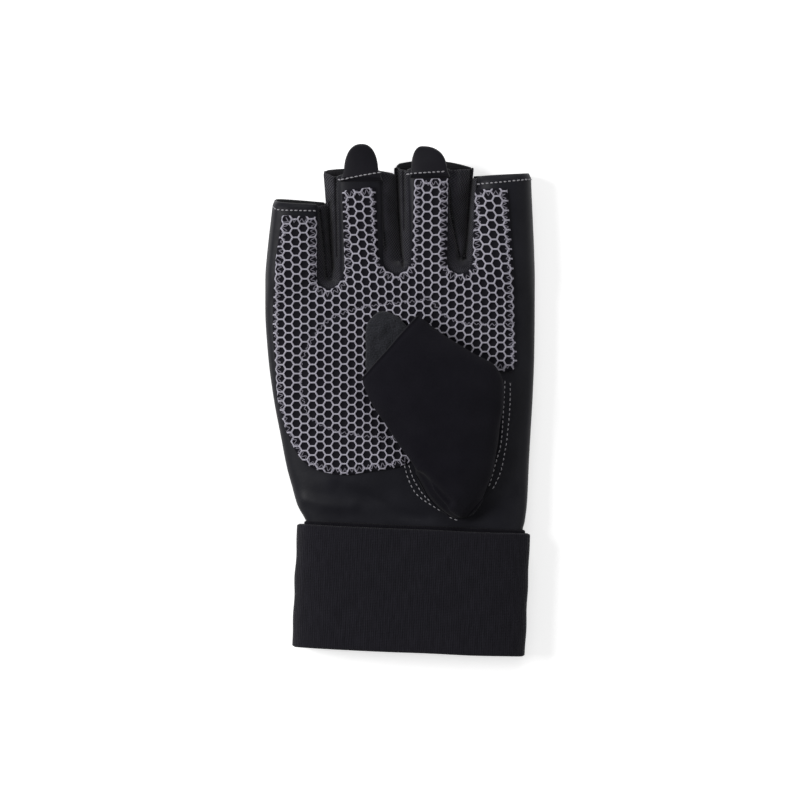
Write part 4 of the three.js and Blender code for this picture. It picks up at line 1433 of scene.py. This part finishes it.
def thumb_front(rows=130, columns=120):
    """The suede over the stall, from the seam on one side to the seam on the other."""
    t = thumb_stations(rows - 10, 10)
    sewn = [smoothstep(t, *SEWN_RIGHT), smoothstep(t, *SEWN_LEFT)]
    ends = [seam_angle(mix(THUMB_SEAM, -0.985, s)) for s in sewn]
    share = np.linspace(0, 1, columns)[None, :]
    aa = mix(ends[0][:, None], math.pi - ends[1][:, None], share)
    tt = t[:, None] + 0 * aa
    p = thumb_points(tt, aa)
    # Where it is sewn on, the suede goes straight down and spreads a little at the seam.
    right = np.cos(aa) > 0
    weight = np.where(right, sewn[0][:, None], sewn[1][:, None])
    up = superellipse(aa)[1]
    wide = thumb_points(tt, np.where(right, 0.0, math.pi))
    out = (wide - thumb_points(tt, np.full_like(aa, math.pi / 2)))[..., :2]
    below = np.maximum(-up, 0)[..., None]
    away = out / np.maximum(np.linalg.norm(out, axis=-1, keepdims=True), 1e-6)
    spread = np.where(right, FLARE_RIGHT, flare_left(np.clip(tt, 3, 8)))
    target = wide[..., :2] + away * (spread[..., None] * below**1.3)
    on = weight[..., None] * (below > 0)
    p[..., :2] = mix(p[..., :2], target, on)
    foot = top.flat(p[..., 0], p[..., 1])[..., 2] + 0.15
    p[..., 2] = mix(p[..., 2], foot, weight * smoothstep(-up, 0.55, 1.0))
    normal = grid_normals(p)
    if normal[rows // 2, columns // 2, 2] < 0:
        normal = -normal
    edge = np.minimum(share, 1 - share) + 0 * aa
    lift = 0.35 * waves(p[..., 0], p[..., 1], 21, 17) * smoothstep(edge, 0.02, 0.12)
    # A soft crease runs up from the foot, and the seam is pinched in beside its edge.
    crease = to_path(p[..., 0], p[..., 1], CREASE)
    lift -= 0.9 * bell(crease, 1.5) * smoothstep(edge, 0.02, 0.08)
    lift += 0.4 * bell(crease - 3, 1.6)
    lift -= 0.5 * bell(edge - 0.05, 0.018)
    lift -= 0.45 * bell(tt - 0.22, 0.1)
    outer = p + normal * lift[..., None]
    inner = outer - normal * thumb_wall(tt)
    return closed_grid("thumb_suede", outer, inner, SUEDE, unroll(p, columns // 2), 0.5)


def thumb_back(rows=90, columns=90):
    """The two layers of terry under the suede: side walls and the part that lies on the palm."""
    t = thumb_stations(rows - 6, 6)
    gap = 0.07
    angle = np.linspace(math.pi - seam_angle() + gap, 2 * math.pi + seam_angle() - gap, columns)
    tt, aa = np.meshgrid(t, angle, indexing="ij")
    outer = thumb_points(tt, aa)
    # The layer lies flat on the palm, and the thumb's hole is cut through it.
    outer[..., 2] = np.maximum(outer[..., 2], bed(outer[..., 0], outer[..., 1]))
    middle = thumb_points(tt, np.full_like(aa, 1.5 * math.pi))
    inward = middle - outer
    inward[..., 2] = 0
    reach = np.linalg.norm(inward, axis=-1, keepdims=True)
    wall = thumb_wall(tt)
    steep = smoothstep(outer[..., 2] - bed(outer[..., 0], outer[..., 1]), 0.1, 1.2)[..., None]
    inner = outer + inward / np.maximum(reach, 1e-6) * np.minimum(wall * mix(0.3, 1, steep), 0.9 * reach)
    inner[..., 2] += (wall * (1 - steep * 0.7))[..., 0]
    return outer, inner


def terry_back():
    """The terry, with the thumb's hole cut through it and its lobe in front of the mouth."""
    outer, inner = thumb_back()
    shape = outer.shape[:2]
    faces = triangles(grid_faces(*shape))
    uv = unroll(outer, shape[1] // 2).reshape(-1, 2)
    outer, inner = outer.reshape(-1, 3), inner.reshape(-1, 3)
    near = to_polygon(outer[:, :2], ellipse(HOLE, 0.3))
    low = outer[:, 2] < bed(outer[:, 0], outer[:, 1]) + 0.6
    cut = (near[faces].mean(1) > 0) & low[faces].all(1)
    faces, outer, inner, uv = drop_unused(faces[~cut], outer, inner, uv)
    faces = facing(faces, outer, inner, len(faces) // 3)
    points, shell, ids = thicken(outer, inner, faces, 0.3)
    points, shell, uv = joined([(points, shell, np.vstack([uv, uv, uv[ids]])), lobe()])
    return make("thumb_terry", points, shell, TERRY, uv)


def lobe():
    """The lobe of terry that shows in the thumb's mouth, as (points, faces, uv)."""
    x, y, half, _, turn = (float(curve(0.0)) for curve in thumb_at)
    turn = math.radians(turn)
    side = np.array([math.cos(turn), math.sin(turn)])
    forward = np.array([-math.sin(turn), math.cos(turn)])
    rows = np.array(LOBE_ROWS)
    left = [(x, y) + forward * r * LOBE_REACH + side * a * half for r, a, _ in rows]
    right = [(x, y) + forward * r * LOBE_REACH + side * b * half for r, _, b in rows]
    outline = spline(np.array(left + right[::-1]), 130)
    flat, faces, near = domain(outline, [], 0.8)
    z = bed(flat[:, 0], flat[:, 1])
    puff = 0.35 * waves(flat[:, 0], flat[:, 1], 31, 5) * smoothstep(near, 0, 2)
    outer = np.column_stack([flat, z + THUMB_WALL + 0.5 * smoothstep(near, 0, 3) + puff])
    inner = np.column_stack([flat, z + 0.1])
    points, shell, _ = thicken(outer, inner, faces, 0.6)
    offset = points[:, :2] - (x, y)
    return points, shell, np.stack([offset @ side, -offset @ forward], axis=1)


suede_piece = thumb_front()
terry_piece = terry_back()


# Pull tabs

TAB_ROUND = 2.3


def pull_tab(name, rows=40, columns=44):
    """A leather tab with a rounded end, sewn on the hem of a finger's mouth."""
    tab = TABS[name]
    centre, half = tab["middle"] * PALM_WIDTH, tab["width"] * PALM_WIDTH / 2
    mouth = float(mouth_y(name, centre, 0))
    side = np.sin(np.linspace(-math.pi / 2, math.pi / 2, columns)) * 0.999
    past_peak = side - tab["peak"]
    from_peak = np.minimum(np.abs(past_peak) / (1 - np.sign(past_peak) * tab["peak"]), 1)
    tip = mouth + tab["reach"] * FINGER_LENGTH * (1 - from_peak**TAB_ROUND) ** (1 / TAB_ROUND)
    number = NAMES.index(name)
    left, right = stall_edges(number, PALM_LENGTH + FINGERS[name]["reach"] * FINGER_LENGTH)
    t = np.linspace(0, 1, rows)[:, None]
    root_x = centre + side * half
    tip_x = centre + 2 * tab["lean"] * half + tab["taper"] * side * half
    x = mix(root_x[None], tip_x[None], t)
    y = mix(mouth - TAB_ROOT, tip[None], t)
    arch_z = arch(root_x, left, right, FINGER_HEIGHT, 0, TOP_ROUND) + 2 * GAP
    flatter = (arch_z.max() - arch_z[None]) * 0.7 * t
    z = arch_z[None] + flatter - 0.9 * t + 0.2 * waves(x, y, 41 + number, 14) * t
    # The root is pressed on the hem and thinned.
    sewn = 1 - smoothstep(t + 0 * x, 0, 0.14)
    z = z - 2 * GAP * sewn
    under_side = np.stack([x, y, z], axis=-1)
    upper = np.stack([x, y, z + TAB * mix(1, 0.45, sewn)], axis=-1)
    return closed_grid("tab_" + name, upper, under_side, TAB_LEATHER, upper[..., :2], 0.35)


tab_pieces = {name: pull_tab(name) for name in TABS}


# Wrist wrap

def cuff_point(degrees, out, along):
    """A point round the sleeve, out from it, along the wrap from its middle."""
    turn = np.radians(degrees)
    across = np.sign(np.cos(turn)) * np.abs(np.cos(turn)) ** (2 / TOP_ROUND)
    power = np.where(np.sin(turn) < 0, BOTTOM_ROUND, TOP_ROUND)
    up = np.sign(np.sin(turn)) * (1 - np.minimum(np.abs(across), 1) ** power) ** (1 / power)
    half_height = (CUFF_HIGH - CUFF_LOW + 2 * out + SETTLE) / 2
    z = np.maximum(CUFF_LOW - out, CUFF_HIGH + out - half_height * (1 - up))
    x = (CUFF_WIDTH / 2 + out) * across
    c, s = math.cos(WRAP_TURN), math.sin(WRAP_TURN)
    return np.stack([x * c - along * s + WRAP_SHIFT, x * s + along * c + WRAP_MIDDLE, z], axis=-1)


LINING_OUT = GAP
BAND_OUT = LINING_OUT + LINING + GAP
FLAP_OUT = BAND_OUT + BAND + GAP
BAND_START, FLAP_START, RAMP = -138, 196, 26
HOOK_START, HOOK_END, HOOK_INSET = 262, 318, 5
LINING_START, LINING_END = -90, 269.4
WRAP_RISE = 0.9  # how much higher the wrap's soft upper edge stands
LOW, HIGH = -WRAP_LENGTH / 2, WRAP_LENGTH / 2


def even_angles(start, end, step_mm):
    """Angles that lie at equal distances round the sleeve."""
    dense = np.linspace(start, end, 4000)
    reach = way(cuff_point(dense, BAND_OUT, 0.0))
    at = np.linspace(0, reach[-1], round(reach[-1] / step_mm) + 1)
    return np.interp(at, reach, dense), at


BAND_EDGE = 0.5


def edge_round(along, low, high):
    """How much thinner a band is near its two edges."""
    near = np.minimum(along - low, high - along)
    inside = np.clip(BAND_EDGE - near, 0, BAND_EDGE)
    return (BAND_EDGE - np.sqrt(BAND_EDGE**2 - inside**2)) * 0.5


def wound(name, start, end, thickness, layer, low, high, material, seed):
    """A band wound round the sleeve between two angles, layer(angle) out from it."""
    angle, reach = even_angles(start, end, 0.9)
    rim = np.array([0, 0.25, 0.6, 1.1])
    along = np.concatenate([low + rim, np.arange(low + 2, high - 1.9, 1.1), high - rim[::-1]])
    aa, ll = np.meshgrid(angle, along, indexing="ij")
    rr = np.broadcast_to(reach[:, None], aa.shape)
    out = layer(aa) + 0.12 * waves(rr, ll, seed, 15) - edge_round(ll, low, high)
    outer = cuff_point(aa, out + thickness, ll)
    inner = cuff_point(aa, layer(aa), ll)
    sway = 0.06 * waves(rr, ll * 0.05, seed + 1, 30)
    for p in (outer, inner):
        p[..., 1] += sway
    uv = np.stack([rr, ll], axis=-1)
    return closed_grid(name, outer, inner, material, uv, 0.25)


def band_layer(angle):
    """How far out the band lies: it ramps up where it goes over its own start."""
    return mix(BAND_OUT, FLAP_OUT, np.clip((angle - FLAP_START + RAMP) / RAMP, 0, 1))


wrap = wound("wrap_band", BAND_START + 4, HOOK_START, BAND, band_layer, LOW, HIGH + WRAP_RISE, ELASTIC, 51)
hook = wound(
    "hook_strip", HOOK_START + 1, HOOK_END, BAND, lambda a: np.full_like(a, FLAP_OUT),
    LOW + HOOK_INSET, HIGH - HOOK_INSET, HOOK, 57,
)
lining = wound(
    "lining_band", LINING_START, LINING_END, LINING, lambda a: np.full_like(a, LINING_OUT),
    LOW + 1, HIGH + LINING_SHOW, LINING_CLOTH, 61,
)


# Stitches

STITCH_SEED = 71
STITCH_PROFILE = np.array([0.45, 0.85, 1, 1, 1, 0.85, 0.45])


def stitches(name, rows, pitch, length, radius, out):
    """Rows of short thread pieces along paths on the unrolled palm, out(u, v) above it."""
    rng = np.random.default_rng(STITCH_SEED)
    places = np.linspace(-0.5, 0.5, len(STITCH_PROFILE))
    shells = []
    for row in rows:
        path = spaced(row, pitch)
        for centre, (x, y) in zip((path[1:] + path[:-1]) / 2, unit(path[1:] - path[:-1])):
            tilt = rng.normal(0, 0.1)
            c, s = math.cos(tilt), math.sin(tilt)
            tangent = np.array([x * c - y * s, x * s + y * c])
            along = places * length * rng.uniform(0.9, 1.1)
            u, v = (centre + along[:, None] * tangent).T
            normal = top.normal(u, v)
            # The ends go down into the cloth.
            spine = top.at(u, v, out(u, v)) - normal * (1.6 * radius * np.abs(2 * places) ** 3)[:, None]
            shells.append(tube(spine, normal, radius * STITCH_PROFILE, 8))
    return tubes(name, shells, THREAD)


HEMS = {
    "little": [(272.6, 206.5), (275.6, 208.9), (280, 210.6), (295, 211.2), (317, 211.6)],
    "ring": [(337.4, 180.2), (343, 180.6), (360, 177), (380.3, 173.3)],
    "middle": [(405.6, 175), (425, 173.8), (444.6, 172.6)],
    "index": [(475.6, 184.7), (500, 183), (531.5, 179.5)],
}
BASE_ROWS = [
    [(504.6, 380), (503, 410), (501, 440), (498.3, 453.3), (494.3, 466.7), (491, 478.7), (488.3, 486.7)],
    [(509.8, 382), (509.2, 410), (506.3, 440), (504.3, 453.3), (501.7, 466.7), (497, 480), (491.7, 489.3)],
    [(404.3, 464), (408.3, 478.7), (415, 492), (423, 499.3), (431, 504), (441, 510.5)],
    [(408.7, 464), (412, 475), (416.3, 484), (423.7, 494.7), (430.5, 501)],
    [(448.3, 515.2), (458.3, 518.6)],
]


def on_cloth(pixels, count=40):
    path = spline(from_pixels(pixels), count)
    path[:, 0] = to_u(path[:, 0], path[:, 1])
    return path


STITCH_OUT = 0.12


def on_palm(u, v):
    return STITCH_OUT + 0 * u


def over_tabs(u, v):
    """Height of the hem's outside over the palm: the pull tabs are sewn on top of it."""
    high = on_palm(u, v)
    for tab in TABS.values():
        centre, half = tab["middle"] * PALM_WIDTH, tab["width"] * PALM_WIDTH / 2
        on_tab = smoothstep(half - np.abs(u - centre), -0.4, 0.6)
        high = np.maximum(high, STITCH_OUT + (1.2 * GAP + TAB) * on_tab)
    return high


hem_piece = stitches("hem_stitches", [on_cloth(p) for p in HEMS.values()], 1.75, 1.5, 0.26, over_tabs)
base_piece = stitches("thumb_stitches", [on_cloth(p) for p in BASE_ROWS], 2.0, 1.45, 0.22, on_palm)


# Pieces in the frame

for piece, nodes, slot in [
    (palm, ["palm_panel"], "palm_leather"),
    (back, ["back_panel"], "back_cloth"),
    (patch, ["grip_patch"], "hexagon_grip"),
    *[(piece, ["gusset_" + key], "gusset_mesh") for key, piece in gussets.items()],
    (suede_piece, ["thumb_front"], "thumb_suede"),
    (terry_piece, ["thumb_back"], "terry"),
    *[(piece, ["pull_tab_" + key], "tab_leather") for key, piece in tab_pieces.items()],
    (wrap, ["wrist_wrap"], "elastic_band"),
    (lining, ["wrist_lining"], "elastic_lining"),
    (hook, ["hook_tab"], "hook_tape"),
    (hem_piece, [], "palm_leather"),
    (base_piece, [], "palm_leather"),
    (lock_piece, [], "hexagon_grip"),
]:
    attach(piece, "root")
    if nodes:
        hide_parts(*nodes)


def flat_cut(piece):
    """Width, length and area of a piece's cut in metres, from its two layers' places on the flat cloth."""
    mesh = piece.data
    mesh.calc_loop_triangles()
    places = np.empty(len(mesh.loops) * 2, np.float32)
    mesh.uv_layers["cloth"].data.foreach_get("uv", places)
    places = places.reshape(-1, 2) / UV_SCALE
    loops = np.empty(len(mesh.loop_triangles) * 3, np.int32)
    mesh.loop_triangles.foreach_get("loops", loops)
    a, b, c = places[loops.reshape(-1, 3)].transpose(1, 0, 2)
    twice = np.abs((b - a)[:, 0] * (c - a)[:, 1] - (b - a)[:, 1] * (c - a)[:, 0]).sum()
    return tuple(map(float, np.ptp(places, axis=0))), float(twice / 4)


for piece, held, rests_on, others in [
    (back, "laid", ["floor"], []),
    (palm, "folded", [back], [hem_piece, base_piece]),
    (patch, "laid", [palm], [lock_piece]),
    *[(web, "gathered", [palm, back], []) for web in gussets.values()],
    (suede_piece, "folded", [palm], []),
    (terry_piece, "folded", [patch], []),
    *[(tab, "laid", [palm], []) for tab in tab_pieces.values()],
    (lining, "stretched", [palm], []),
    (wrap, "stretched", [lining], []),
    (hook, "laid", [wrap], []),
]:
    flat, area = flat_cut(piece)


# Floor, light and camera

FLOOR_REACH = 3.0
FLOOR_SHADE = 0.85
FLOOR_GLOW = 0.55
WORLD_GLOW = 0.2


def floor():
    mesh = bpy.data.meshes.new("floor")
    corners = [(x * FLOOR_REACH, y * FLOOR_REACH, 0) for x, y in ((-1, -1), (1, -1), (1, 1), (-1, 1))]
    mesh.from_pydata(corners, [], [(0, 1, 2, 3)])
    p = Paint("floor", 0.9, 0.0)
    p.shader.inputs["Base Color"].default_value = (FLOOR_SHADE, FLOOR_SHADE, FLOOR_SHADE, 1)
    p.shader.inputs["Emission Color"].default_value = (1, 1, 1, 1)
    p.shader.inputs["Emission Strength"].default_value = FLOOR_GLOW
    mesh.materials.append(p.material)
    made = bpy.data.objects.new("floor", mesh)
    bpy.context.scene.collection.objects.link(made)


def lamp(name, place, size, power):
    """A round soft lamp that points at the middle of the glove."""
    light = bpy.data.lights.new(name, "AREA")
    light.shape, light.size, light.energy = "DISK", size, power
    made = bpy.data.objects.new(name, light)
    bpy.context.scene.collection.objects.link(made)
    made.location = place
    made.rotation_euler = (-Vector(place)).to_track_quat("-Z", "Y").to_euler()


floor()
lamp("left", (-1.5, 0.3, 1.3), 0.9, 33)
lamp("right", (1.5, -0.2, 1.3), 0.9, 4)
lamp("head", (0.1, 1.7, 1.3), 1.0, 14)
world = bpy.data.worlds.new("studio")
world.use_nodes = True
background = world.node_tree.nodes["Background"]
background.inputs["Color"].default_value = (1, 1, 1, 1)
background.inputs["Strength"].default_value = WORLD_GLOW
bpy.context.scene.world = world
bpy.context.scene.view_settings.view_transform = "Standard"

FRAME_WIDTH = 320  # what the photograph shows, across
LENS, SENSOR = 200, 36
FOCUS_HEIGHT = 10  # height over the floor at which FRAME_WIDTH holds
camera_data = bpy.data.cameras.new("camera")
camera_data.lens, camera_data.sensor_width = LENS, SENSOR
camera_data.clip_end = 20
camera = bpy.data.objects.new("camera", camera_data)
bpy.context.scene.collection.objects.link(camera)
camera.location = (0, 0.0003, (LENS * FRAME_WIDTH / SENSOR + FOCUS_HEIGHT) * MM)
bpy.context.scene.camera = camera
